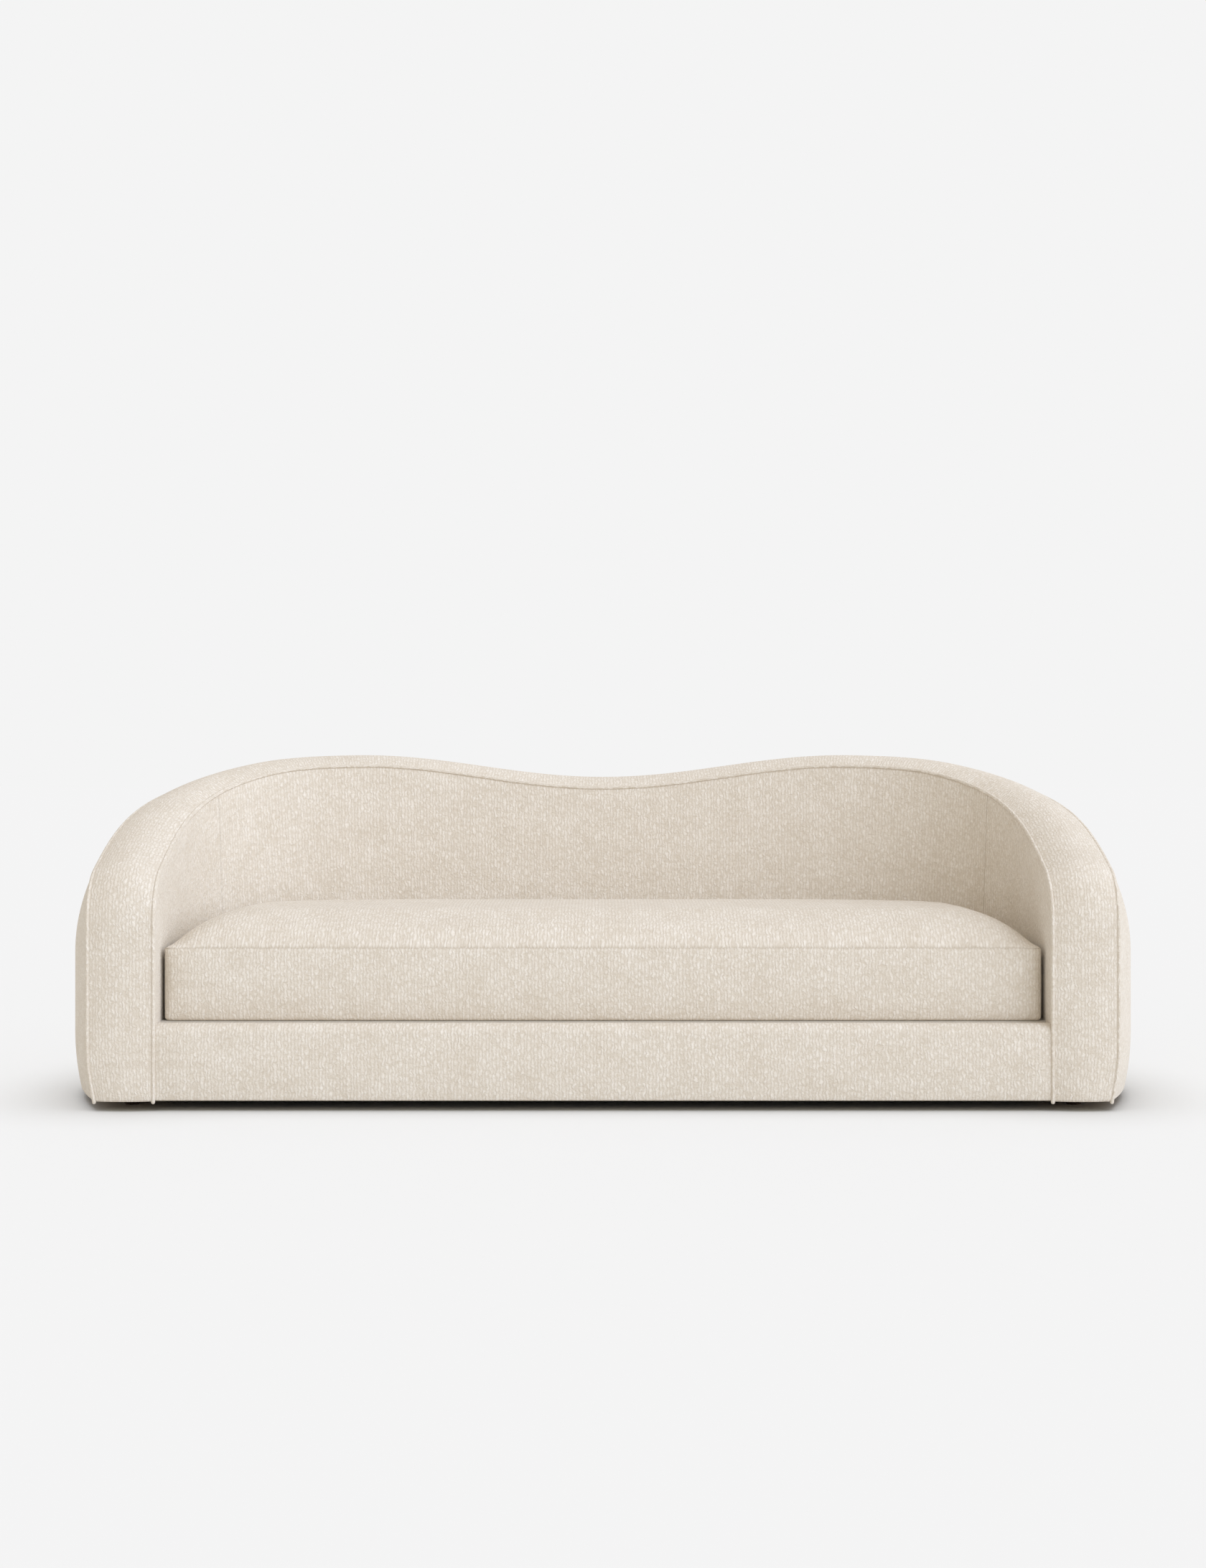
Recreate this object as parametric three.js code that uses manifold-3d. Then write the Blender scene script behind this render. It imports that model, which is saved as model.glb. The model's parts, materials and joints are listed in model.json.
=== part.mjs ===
import * as THREE from 'three';
import { mergeVertices } from 'three/addons/utils/BufferGeometryUtils.js';
import Module from 'manifold-3d';

// An upholstered sofa whose padded wall wraps round both sides and the back of one bench cushion.
// Millimetres, +Z up, front towards -Y, origin on the floor under the middle of the sofa.

// Driving dimensions: the whole sofa
const overallWidth = 2438;
const overallDepth = 980;
const overallHeight = 775;
const footHeight = 22;
const frontStep = 91; // each side's bulge beyond the front faces
const backSwell = 108; // the outside back's bulge beyond the seam above it
const swellReach = 400; // depth at which the outsides are full
const swellPower = 1.6; // how quickly they fill out behind the front faces
const waistHeight = 330; // the outsides lean in above this height
const tuckHeight = 150; // and draw in below this one
const hemTuck = 15;

// Driving dimensions: the band and its seams
const bandWidth = 144;
const topCrown = 25;
const frontCrown = 8;
const planFullness = 4; // exponent of the seam's superellipse in plan
const armFrontHeight = 493; // where the arm's rising top line would meet the front
const armCornerRadius = 120;
const crestSetback = 55; // the arm line reaches crest height this far before the back seam
const crestBlend = 20;
const crestHalfSpacing = 610;
const centreDip = 56;
const weltDiameter = 9;

// Driving dimensions: seat and back
const seatDeckHeight = 190;
const backLean = 85; // how far the inside back comes forward from seam to deck
const cushionSetback = 57;
const cushionGap = 12;
const cushionCorner = 15;
const boxingHeight = 162;
const cushionCrown = 75;
const crownReach = 40; // the crown fills out within a few times this distance of the seams
const railRound = 22;
const ledgeDepth = 62;

// Driving dimensions: materials and fasteners
const clothThickness = 3;
const layerGap = 4; // wadding between lofted layers
const gap = 0.3; // between pieces that touch
const panelGap = 5;
const panelThickness = 6;
const bandPadThickness = 30;
const armPadThickness = 38;
const backPadThickness = 60;
const boardThickness = 18; // ribs and top rail
const armBoardThickness = 12;
const baseThickness = 15;
const railThickness = 20;
const crossRailThickness = 30;
const crossRailSpread = 420; // the outer cross rails' distance from the middle
const deckPadThickness = 34;
const webbingThickness = 2;
const webbingStrap = 80;
const webbingSpace = 70;
const dustThickness = 0.8;
const footDiameter = 40;
const footSole = 6; // wood left below the bolt's bore
const boltDiameter = 8;
const boltProud = 8; // how far a bolt stands above the base plate
const zipLength = 800;

// Heights and places worked out from them
const hemHeight = footHeight + gap;
const crestHeight = overallHeight - topCrown;
const seamDepth = overallDepth - frontCrown - bandWidth - backSwell;
const seamHalfWidth = overallWidth / 2 - bandWidth - frontStep;
const seamFrontY = frontCrown - overallDepth / 2;
const climb = (crestHeight - armFrontHeight) / (seamDepth - crestSetback);
const climbAngle = Math.atan(climb);
const arcEndRun = armCornerRadius * (1 - Math.sin(climbAngle));
const faceTop = armFrontHeight + climb * arcEndRun - armCornerRadius * Math.cos(climbAngle);
const baseTop = hemHeight + baseThickness;
const frameFront = clothThickness + layerGap + bandPadThickness + layerGap;
const deckCoverBottom = seatDeckHeight - clothThickness;
const deckPadBottom = deckCoverBottom - gap - deckPadThickness;
const webbingBottom = deckPadBottom - gap - webbingThickness;
const railTop = webbingBottom - gap;
const insideBase = deckPadBottom;
const cushionSeam = seatDeckHeight + boxingHeight;
const leanSlack = backLean / 40; // the layers twist where the lean changes, so they need more room

const colours = {
  boucle: 0xe0d8cb,
  foam: 0xe9dfb8,
  wood: 0xc9a678,
  darkWood: 0x3a2c22,
  board: 0xa98f6c,
  lining: 0xd8d2c6,
  blackCloth: 0x202020,
  webbing: 0x8a7a5c,
  steel: 0x9a9c9e,
  zip: 0xcfc7b8,
};

const sofa = new THREE.Group();

function addPiece(name, geometry, colour, options = {}) {
  const material = new THREE.MeshStandardMaterial({
    color: colour,
    roughness: options.roughness ?? 0.9,
    metalness: options.metalness ?? 0,
  });
  const mesh = new THREE.Mesh(geometry, material);
  mesh.name = name;
  (options.parent ?? sofa).add(mesh);
  return mesh;
}

// ---- The seam plan: a superellipse from the left front round the back to the right front ----

class SeamPlan extends THREE.Curve {
  constructor(halfWidth, depth, fullness) {
    super();
    this.halfWidth = halfWidth;
    this.depth = depth;
    this.fullness = fullness;
    this.arcLengthDivisions = 400;
  }

  getPoint(t, target = new THREE.Vector2()) {
    const across = -Math.cos(Math.PI * t);
    const back = Math.sin(Math.PI * t);
    const sum = Math.abs(across / this.halfWidth) ** this.fullness + (back / this.depth) ** this.fullness;
    const reach = sum ** (-1 / this.fullness);
    return target.set(across * reach, back * reach);
  }
}

const seamPlan = new SeamPlan(seamHalfWidth, seamDepth, planFullness);
const seamLength = seamPlan.getLength();

// Where the seam runs in plan, a given length along it: the point, the way it travels and the way out.
function station(run) {
  const u = THREE.MathUtils.clamp(run / seamLength, 0, 1);
  const point = seamPlan.getPointAt(u);
  const travel = seamPlan.getTangentAt(u);
  const normal = new THREE.Vector2(-travel.y, travel.x);
  return { run, point, travel, normal };
}

function softMinimum(first, second, blend) {
  const near = Math.max(blend - Math.abs(first - second), 0) / blend;
  return Math.min(first, second) - (near * near * blend) / 4;
}

// Height of the inner seam above a plan point: up the arm's front corner, along its rising line to the
// crest, and down to the dip in the middle of the back.
function seamHeight(point) {
  const cornerDrop = armCornerRadius - Math.min(point.y, armCornerRadius);
  const onArc = faceTop + Math.sqrt(armCornerRadius ** 2 - cornerDrop ** 2);
  const armLine = point.y < arcEndRun ? onArc : armFrontHeight + climb * point.y;
  const towardsMiddle = 1 - Math.min(Math.abs(point.x) / crestHalfSpacing, 1);
  const dip = (centreDip * (1 - Math.cos(Math.PI * towardsMiddle))) / 2;
  return softMinimum(armLine, crestHeight, crestBlend) - dip;
}

// Bulge of the outside beyond the outer seam where it is fullest, at one place round the plan.
function outsideSwell(place, sideSwell) {
  const full = sideSwell * place.normal.x ** 2 + backSwell * place.normal.y ** 2;
  const depth = place.point.y + bandWidth * place.normal.y;
  const short = 1 - THREE.MathUtils.clamp(depth / swellReach, 0, 1);
  return full * (1 - short ** swellPower);
}

// The widest place lies where the seam has already turned in a little, so the side swell makes that up.
function solveSideSwell() {
  let widest = 0;
  for (let run = 0; run < seamLength / 2; run += 10) {
    const place = station(run);
    const reach = Math.abs(place.point.x + place.normal.x * (bandWidth + outsideSwell(place, frontStep)));
    widest = Math.max(widest, reach);
  }
  return frontStep + overallWidth / 2 - widest;
}

const sideSwell = solveSideSwell();

function hemTuckAt(height) {
  const low = THREE.MathUtils.clamp((tuckHeight - height) / (tuckHeight - hemHeight), 0, 1);
  return hemTuck * low * low;
}

// Distance out from the inner seam to the inside face, which is zero at the seam and less than zero below.
function insideOffset(place, height) {
  const lean = backLean * place.normal.y ** 2;
  const seam = seamHeight(place.point);
  const drop = THREE.MathUtils.clamp((seam - height) / (seam - seatDeckHeight), 0, 1);
  return -lean * drop;
}

// Distance out from the inner seam to the outside face.
function outsideOffset(place, height) {
  const seam = Math.max(seamHeight(place.point), waistHeight + 1);
  const above = THREE.MathUtils.clamp((height - waistHeight) / (seam - waistHeight), 0, 1);
  return bandWidth + outsideSwell(place, sideSwell) * (1 - above * above) - hemTuckAt(height);
}

function planPoint(place, offset) {
  return new THREE.Vector2(
    place.point.x + place.normal.x * offset,
    place.point.y + place.normal.y * offset,
  );
}

function inSofa(plan, height) {
  return new THREE.Vector3(plan.x, seamFrontY + plan.y, height);
}

// ---- Geometry helpers ----

// A box whose grid of vertices is moved to place(i, j, k).
function shapedBox(iCount, jCount, kCount, place) {
  const geometry = new THREE.BoxGeometry(1, 1, 1, iCount, jCount, kCount);
  const position = geometry.attributes.position;
  for (let v = 0; v < position.count; v++) {
    const i = Math.round((position.getX(v) + 0.5) * iCount);
    const j = Math.round((position.getY(v) + 0.5) * jCount);
    const k = Math.round((position.getZ(v) + 0.5) * kCount);
    const moved = place(i, j, k);
    position.setXYZ(v, moved.x, moved.y, moved.z);
  }
  return geometry;
}

// A lathed body whose rings are moved to the given rings, listed from the underside out and up and in
// again. A ring with one point closes the body in the middle.
function ringBody(rings) {
  const count = Math.max(...rings.map((ring) => ring.length));
  const profile = rings.map((ring, j) => new THREE.Vector2(ring.length === 1 ? 0 : 1, j));
  const geometry = new THREE.LatheGeometry(profile, count);
  const position = geometry.attributes.position;
  for (let i = 0; i <= count; i++) {
    rings.forEach((ring, j) => {
      const moved = ring[ring.length === 1 ? 0 : i % count];
      position.setXYZ(i * rings.length + j, moved.x, moved.y, moved.z);
    });
  }
  return geometry;
}

// A flat plate of the given plan outline, with holes, from bottom to top.
function plate(outline, holes, bottom, top) {
  // An extruded shape sorts out the way its holes wind only when its outline is anticlockwise.
  const clockwise = THREE.ShapeUtils.isClockWise(outline);
  const shape = new THREE.Shape(clockwise ? outline.toReversed() : outline);
  shape.holes = holes;
  const geometry = new THREE.ExtrudeGeometry(shape, {
    depth: top - bottom,
    bevelEnabled: false,
    curveSegments: 8,
  });
  return geometry.translate(0, seamFrontY, bottom);
}

const manifold = await Module();
manifold.setup();

function solidFrom(geometry) {
  const bare = geometry.clone();
  bare.deleteAttribute('normal');
  bare.deleteAttribute('uv');
  const merged = mergeVertices(bare);
  return new manifold.Manifold(
    new manifold.Mesh({
      numProp: 3,
      vertProperties: merged.attributes.position.array,
      triVerts: new Uint32Array(merged.index.array),
    }),
  );
}

function geometryOf(solid) {
  const mesh = solid.getMesh();
  const result = new THREE.BufferGeometry();
  result.setAttribute('position', new THREE.BufferAttribute(mesh.vertProperties, 3));
  result.setIndex(new THREE.BufferAttribute(mesh.triVerts, 1));
  return result;
}

// A body with other bodies cut out of it.
function cut(geometry, tools) {
  return geometryOf(tools.reduce((left, tool) => left.subtract(solidFrom(tool)), solidFrom(geometry)));
}

// One body made of several that overlap.
function joined(geometries) {
  return geometryOf(geometries.map(solidFrom).reduce((whole, part) => whole.add(part)));
}

function block(xRange, depthRange, heightRange) {
  const size = [xRange, depthRange, heightRange].map((range) => range[1] - range[0]);
  const centre = [xRange, depthRange, heightRange].map((range) => (range[0] + range[1]) / 2);
  return new THREE.BoxGeometry(...size).translate(centre[0], seamFrontY + centre[1], centre[2]);
}

// ---- Stations round the wall and frames along the band ----

const cornerSteps = 4;
const halfSteps = 15;

function middleRuns() {
  const runs = [];
  for (let step = 0; step <= 2 * halfSteps; step++) {
    const part = step / (2 * halfSteps);
    runs.push(THREE.MathUtils.lerp(armCornerRadius, seamLength - armCornerRadius, part));
  }
  return runs;
}

// The left arm's front corner, set in from the seam: runs and heights along its arc.
function cornerPoints(inset) {
  const points = [];
  for (let step = 0; step <= cornerSteps; step++) {
    const turn = ((Math.PI / 2 - climbAngle) * step) / cornerSteps;
    const radius = armCornerRadius - inset;
    points.push({
      run: armCornerRadius - radius * Math.cos(turn),
      top: faceTop + radius * Math.sin(turn),
      tilt: Math.PI / 2 - turn,
    });
  }
  return points;
}

function mirrored(points) {
  return points.map((p) => ({ run: seamLength - p.run, top: p.top, tilt: -p.tilt })).reverse();
}

function tiltAt(run) {
  const rise = seamHeight(station(run + 1).point) - seamHeight(station(run - 1).point);
  return Math.atan(rise / 2);
}

function topPoint(run, inset) {
  const tilt = tiltAt(run);
  return { run, top: seamHeight(station(run).point) - inset / Math.cos(tilt), tilt };
}

// Every point along the top edge of a layer set in from the seam, between two runs.
function topEdge(inset, from = 0, to = seamLength) {
  const corner = cornerPoints(inset);
  const points = [...corner, ...middleRuns().map((run) => topPoint(run, inset)), ...mirrored(corner)];
  const inside = points.filter((p) => p.run >= from && p.run <= to);
  if (from > 0) {
    inside.unshift(topPoint(from, inset));
  }
  if (to < seamLength) {
    inside.push(topPoint(to, inset));
  }
  return inside;
}

// Lengths of the five pieces that the wall's boards and pads are cut in. They meet at stations.
const armEndStep = halfSteps / 3;
const cornerEndStep = 2 * armEndStep;
const armEnd = middleRuns()[armEndStep];
const cornerEnd = middleRuns()[cornerEndStep];
const wallLengths = [
  { name: 'left_arm', from: 0, to: armEnd - gap },
  { name: 'left_corner', from: armEnd + gap, to: cornerEnd - gap },
  { name: 'back', from: cornerEnd + gap, to: seamLength - cornerEnd - gap },
  { name: 'right_corner', from: seamLength - cornerEnd + gap, to: seamLength - armEnd - gap },
  { name: 'right_arm', from: seamLength - armEnd + gap, to: seamLength },
];

// A lofted layer that stands in the wall. rows(place, top) gives its heights from the bottom up, and
// near and far give the distances out to its two faces.
function wallLayer(edge, rows, near, far) {
  const places = edge.map((p) => ({ ...station(p.run), top: p.top }));
  const heights = places.map((place) => rows(place, place.top));
  return shapedBox(places.length - 1, 1, heights[0].length - 1, (i, j, k) => {
    const place = places[i];
    const height = heights[i][k];
    const offset = j === 0 ? near(place, height) : far(place, height);
    return inSofa(planPoint(place, offset), height);
  });
}

function insideRows(place, top) {
  const rows = [insideBase, seatDeckHeight];
  for (const part of [1 / 3, 2 / 3]) {
    rows.push(THREE.MathUtils.lerp(seatDeckHeight, seamHeight(place.point), part));
  }
  rows.push(top);
  return rows;
}

function outsideRows(place, top) {
  const rows = [hemHeight, (hemHeight + tuckHeight) / 2, tuckHeight, waistHeight];
  const seam = seamHeight(place.point);
  const upper = Math.min(seam, top + (seam - waistHeight) / 3);
  for (const part of [1 / 3, 2 / 3]) {
    rows.push(THREE.MathUtils.lerp(waistHeight, upper, part));
  }
  rows.push(top);
  return rows;
}

// Frames along the whole band: up the left front face, round the top and down the right front face.
const faceHeights = [hemHeight, (hemHeight + tuckHeight) / 2, tuckHeight, (tuckHeight + faceTop) / 2];

function bandFrames(from = 0, to = seamLength) {
  const face = faceHeights.map((height) => ({ run: 0, top: height, tilt: Math.PI / 2 }));
  const points = topEdge(0, from, to);
  if (from === 0) {
    points.unshift(...face);
  }
  if (to === seamLength) {
    points.push(...mirrored(face));
  }
  return points.map((p) => {
    const place = station(p.run);
    const back = -Math.sin(p.tilt);
    const rise = new THREE.Vector3(place.travel.x * back, place.travel.y * back, Math.cos(p.tilt));
    const span = bandWidth - hemTuckAt(p.top);
    return { ...place, ...p, rise, span };
  });
}

function bandCrown(frame, across) {
  const full = THREE.MathUtils.lerp(topCrown, frontCrown, Math.sin(frame.tilt) ** 2);
  return full * (1 - ((2 * across) / frame.span - 1) ** 2);
}

function onBand(frame, across, lift) {
  return inSofa(planPoint(frame, across), frame.top).addScaledVector(frame.rise, lift);
}

// A layer of the band, a margin in from both seams. low and high give the lifts of its two faces.
function bandLayer(frames, margin, low, high, acrossSteps) {
  return shapedBox(frames.length - 1, 1, acrossSteps, (i, j, k) => {
    const frame = frames[i];
    const across = THREE.MathUtils.lerp(frame.span - margin, margin, k / acrossSteps);
    const lift = j === 0 ? low(frame, across) : high(frame, across);
    return onBand(frame, across, lift);
  });
}

// ---- Plan outlines of the seat, and the cushion ----

const outlineRuns = middleRuns();

// The line at a given offset from the inside face at deck height, from the left front to the right front.
function deckLine(offset, frontDepth) {
  const inner = outlineRuns.map((run) => {
    const place = station(run);
    return planPoint(place, insideOffset(place, seatDeckHeight) + offset);
  });
  const left = planPoint(station(frontDepth), offset);
  const right = planPoint(station(seamLength - frontDepth), offset);
  return [left, ...inner, right];
}

// Depth at which a deck line, going round, crosses a given distance to the right of the middle.
function depthOnLine(line, x) {
  for (let i = 1; i < line.length; i++) {
    const a = line[i - 1];
    const b = line[i];
    if (b.x >= x && a.x < x && a.y > ledgeDepth * 2) {
      return THREE.MathUtils.lerp(a.y, b.y, (x - a.x) / (b.x - a.x));
    }
  }
  return 0;
}

// The cushion's outline at one height, drawn in by inset and shrunk towards its middle by spread.
const flatCut = 10; // shaved off the middle of the back edge, so that the zip lies straight
const cushionMiddle = new THREE.Vector2(0, (cushionSetback + seamDepth - backLean) / 2);

function backEdge(height) {
  return seamDepth + insideOffset(station(seamLength / 2), height) - cushionGap - flatCut;
}

function cushionRing(height, inset, spread, lift = () => 0) {
  const points = [];
  for (const run of outlineRuns) {
    const place = station(run);
    const point = planPoint(place, insideOffset(place, height) - cushionGap - inset);
    point.y = Math.min(point.y, backEdge(height) - inset);
    points.push({ point, normal: place.normal });
  }
  const steps = 3;
  for (const side of [1, -1]) {
    const centreX = side * (seamHalfWidth - cushionGap - cushionCorner);
    for (let step = 0; step <= steps; step++) {
      const part = side > 0 ? step / steps : 1 - step / steps;
      const turn = (part * Math.PI) / 2;
      const radius = cushionCorner - inset;
      const x = centreX + side * radius * Math.cos(turn);
      const y = cushionSetback + cushionCorner - radius * Math.sin(turn);
      points.push({ point: new THREE.Vector2(x, y), normal: new THREE.Vector2(side, 0) });
    }
  }
  return points.reverse().map(({ point, normal }) => {
    const spreadOut = point.clone().lerp(cushionMiddle, 1 - spread);
    const fromWall = point.clone().sub(spreadOut).dot(normal);
    return inSofa(spreadOut, height + lift(fromWall, spreadOut.y - cushionSetback));
  });
}

const domeSpreads = [0.985, 0.96, 0.92, 0.85, 0.72, 0.45];

// Lift of the crown at given distances in from the wall and from the cushion's front.
function domeLift(fromWall, fromFront) {
  const filled = (distance) => 1 - Math.exp(-Math.max(distance, 0) / crownReach);
  return cushionCrown * filled(fromWall) * filled(fromFront);
}

function domeRings(height, inset) {
  const rings = domeSpreads.map((spread) => cushionRing(height, inset, spread, domeLift));
  return [...rings, [inSofa(cushionMiddle, height + cushionCrown)]];
}

function addCushion(parent) {
  const bottom = seatDeckHeight + gap;
  const foamBottom = bottom + clothThickness + gap;
  const panelEdge = cushionSeam - clothThickness;
  const boxingTop = panelEdge - gap;
  const foamTop = panelEdge - layerGap;
  const inset = clothThickness + layerGap + leanSlack;
  const options = { parent };

  const underside = [[inSofa(cushionMiddle, bottom)], cushionRing(bottom, 0, 1)];
  const upperFace = [cushionRing(bottom + clothThickness, 0, 1), [inSofa(cushionMiddle, bottom + clothThickness)]];
  addPiece('cushion_bottom_panel', ringBody([...underside, ...upperFace]), colours.boucle, options);

  const outerRings = [cushionRing(foamBottom, 0, 1), cushionRing(boxingTop, 0, 1)];
  const innerRings = [cushionRing(boxingTop, clothThickness, 1), cushionRing(foamBottom, clothThickness, 1)];
  const boxing = [...outerRings, ...innerRings, outerRings[0]];
  addPiece('cushion_boxing', ringBody(boxing), colours.boucle, options);

  const coreFoot = [[inSofa(cushionMiddle, foamBottom)], cushionRing(foamBottom, inset, 1)];
  const coreHead = [cushionRing(foamTop, inset, 1), ...domeRings(foamTop, inset)];
  addPiece('cushion_foam_core', ringBody([...coreFoot, ...coreHead]), colours.foam, options);

  const domeUnder = [cushionRing(panelEdge, 0, 1), ...domeRings(panelEdge, 0)].reverse();
  const domeOver = [cushionRing(panelEdge, 0, 1).map((point) => point.setZ(cushionSeam))];
  for (const ring of domeRings(panelEdge, 0)) {
    domeOver.push(ring.map((point) => point.clone().setZ(point.z + clothThickness)));
  }
  addPiece('cushion_top_panel', ringBody([...domeUnder, ...domeOver]), colours.boucle, options);
}

// The zip lies along the middle of the cushion's back face and leans with it.
const zip = {
  tapeHeight: 30,
  tapeThickness: 1.5,
  toothHeight: 5,
  toothDepth: 2,
  sliderLength: 13,
  sliderHeight: 10,
  sliderDepth: 5,
  lugThickness: 1.5,
  pinDiameter: 2,
  eyeDiameter: 4.6,
  pullLength: 16,
  pullWidth: 6,
  pullThickness: 1.5,
};

function addZip(parent) {
  const height = seatDeckHeight + boxingHeight / 2;
  const group = new THREE.Group();
  group.position.set(0, seamFrontY + backEdge(height) + gap, height);
  group.rotation.x = -Math.atan2(backEdge(height + 1) - backEdge(height), 1);
  parent.add(group);

  // The tape's section carries the closed row of teeth as a ridge along its middle.
  const half = zip.tapeHeight / 2;
  const ridge = zip.toothHeight / 2;
  const ridgeTop = zip.tapeThickness + zip.toothDepth;
  const section = new THREE.Shape();
  section.moveTo(0, -half);
  section.lineTo(zip.tapeThickness, -half);
  section.lineTo(zip.tapeThickness, -ridge);
  section.lineTo(ridgeTop, -ridge);
  section.lineTo(ridgeTop, ridge);
  section.lineTo(zip.tapeThickness, ridge);
  section.lineTo(zip.tapeThickness, half);
  section.lineTo(0, half);
  const tape = alongX(section, -zipLength / 2, zipLength / 2);
  addPiece('zip_tape', tape, colours.zip, { parent: group });

  // The slider straddles the ridge: a channel open towards the tape.
  const bottom = zip.tapeThickness + gap;
  const top = bottom + zip.sliderDepth;
  const side = zip.sliderHeight / 2;
  const channel = ridge + gap;
  const slider = new THREE.Shape();
  slider.moveTo(bottom, -side);
  slider.lineTo(top, -side);
  slider.lineTo(top, side);
  slider.lineTo(bottom, side);
  slider.lineTo(bottom, channel);
  slider.lineTo(ridgeTop + gap, channel);
  slider.lineTo(ridgeTop + gap, -channel);
  slider.lineTo(bottom, -channel);
  const start = -zipLength / 2;
  const channelPiece = alongX(slider, start, start + zip.sliderLength);

  // The pull's eye turns on a pin between two lugs at the top of the slider.
  const middle = start + zip.sliderLength / 2;
  const hinge = { depth: top + gap + zip.eyeDiameter / 2, height: side - zip.eyeDiameter / 2 };
  const lugs = zipLugs(hinge, top - zip.lugThickness, middle);
  const steel = { parent: group, roughness: 0.35, metalness: 0.9 };
  addPiece('zip_slider', joined([channelPiece, ...lugs]), colours.steel, steel);
  const pull = alongX(pullSection(hinge), middle - zip.pullWidth / 2, middle + zip.pullWidth / 2, 16);
  addPiece('zip_pull', pull, colours.steel, steel);
}

function zipLugs(hinge, root, middle) {
  const radius = zip.eyeDiameter / 2;
  const lug = new THREE.Shape();
  lug.moveTo(root, hinge.height - radius);
  lug.lineTo(hinge.depth, hinge.height - radius);
  lug.absarc(hinge.depth, hinge.height, radius, -Math.PI / 2, Math.PI / 2, false);
  lug.lineTo(root, hinge.height + radius);
  const near = zip.pullWidth / 2 + gap;
  const far = near + zip.lugThickness;
  const pin = new THREE.CylinderGeometry(zip.pinDiameter / 2, zip.pinDiameter / 2, near + far, 16);
  pin.rotateZ(Math.PI / 2).translate(middle, hinge.depth, hinge.height);
  return [alongX(lug, middle - far, middle - near), alongX(lug, middle + near, middle + far), pin];
}

// A strip that hangs from a round eye.
function pullSection(hinge) {
  const radius = zip.eyeDiameter / 2;
  const half = zip.pullThickness / 2;
  const neck = Math.asin(half / radius);
  const foot = hinge.height - zip.pullLength;
  const section = new THREE.Shape();
  section.moveTo(hinge.depth - half, foot);
  section.absarc(hinge.depth, hinge.height, radius, -Math.PI / 2 - neck, -Math.PI / 2 + neck, true);
  section.lineTo(hinge.depth + half, foot);
  const hole = new THREE.Path().absarc(hinge.depth, hinge.height, zip.pinDiameter / 2 + gap, 0, Math.PI * 2);
  section.holes.push(hole);
  return section;
}

// A section drawn as (depth, height), swept along X between two places.
function alongX(section, from, to, curveSegments = 6) {
  const geometry = new THREE.ExtrudeGeometry(section, {
    depth: to - from,
    bevelEnabled: false,
    curveSegments,
  });
  const turn = new THREE.Matrix4().makeBasis(
    new THREE.Vector3(0, 1, 0),
    new THREE.Vector3(0, 0, 1),
    new THREE.Vector3(1, 0, 0),
  );
  return geometry.applyMatrix4(turn).translate(from, 0, 0);
}

// ---- Covers, welts and pads ----

function deeper(offset, depth) {
  return (place, height) => offset(place, height) + depth;
}

function addCovers() {
  const edge = weltDiameter / 2 + gap;
  const topLine = topEdge(edge);
  const inside = wallLayer(topLine, insideRows, insideOffset, deeper(insideOffset, clothThickness));
  addPiece('inside_cover', inside, colours.boucle);
  const outside = wallLayer(topLine, outsideRows, deeper(outsideOffset, -clothThickness), outsideOffset);
  addPiece('outside_cover', outside, colours.boucle);
  const band = bandLayer(bandFrames(), edge, deeper(bandCrown, -clothThickness), bandCrown, 4);
  addPiece('band_cover', band, colours.boucle);
}

// A welt runs the whole length of one edge of the band.
function addWelt(name, acrossOf) {
  const sides = 6;
  const frames = bandFrames();
  const radius = weltDiameter / 2;
  const geometry = new THREE.CylinderGeometry(1, 1, 1, sides, frames.length - 1);
  const position = geometry.attributes.position;
  for (let v = 0; v < position.count; v++) {
    const frame = frames[Math.round((position.getY(v) + 0.5) * (frames.length - 1))];
    const across = acrossOf(frame) - position.getX(v) * radius;
    const moved = onBand(frame, across, position.getZ(v) * radius);
    position.setXYZ(v, moved.x, moved.y, moved.z);
  }
  addPiece(name, geometry, colours.boucle);
}

function padBack(place, height) {
  const depth = THREE.MathUtils.lerp(armPadThickness, backPadThickness, place.normal.y ** 2);
  return insideOffset(place, height) + clothThickness + layerGap + leanSlack + depth;
}

// The inside pads, outside boards and band pads, each cut in five lengths.
function addWallLengths() {
  const padFace = clothThickness + layerGap;
  const insideFace = padFace + leanSlack;
  const boardFace = clothThickness + panelGap;
  const boardNear = deeper(outsideOffset, -boardFace - panelThickness);
  const boardFar = deeper(outsideOffset, -boardFace);
  const padFloor = () => -padFace - bandPadThickness;
  for (const { name, from, to } of wallLengths) {
    const edge = topEdge(frameFront, from, to);
    const pad = wallLayer(edge, insideRows, deeper(insideOffset, insideFace), padBack);
    addPiece(`${name}_inside_pad`, pad, colours.foam);
    const board = wallLayer(edge, outsideRows, boardNear, boardFar);
    addPiece(`${name}_outside_board`, board, colours.board);
    const band = bandLayer(bandFrames(from, to), padFace, padFloor, deeper(bandCrown, -padFace), 2);
    addPiece(`${name}_band_pad`, band, colours.foam);
  }
}

// ---- The low front rail ----

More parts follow.
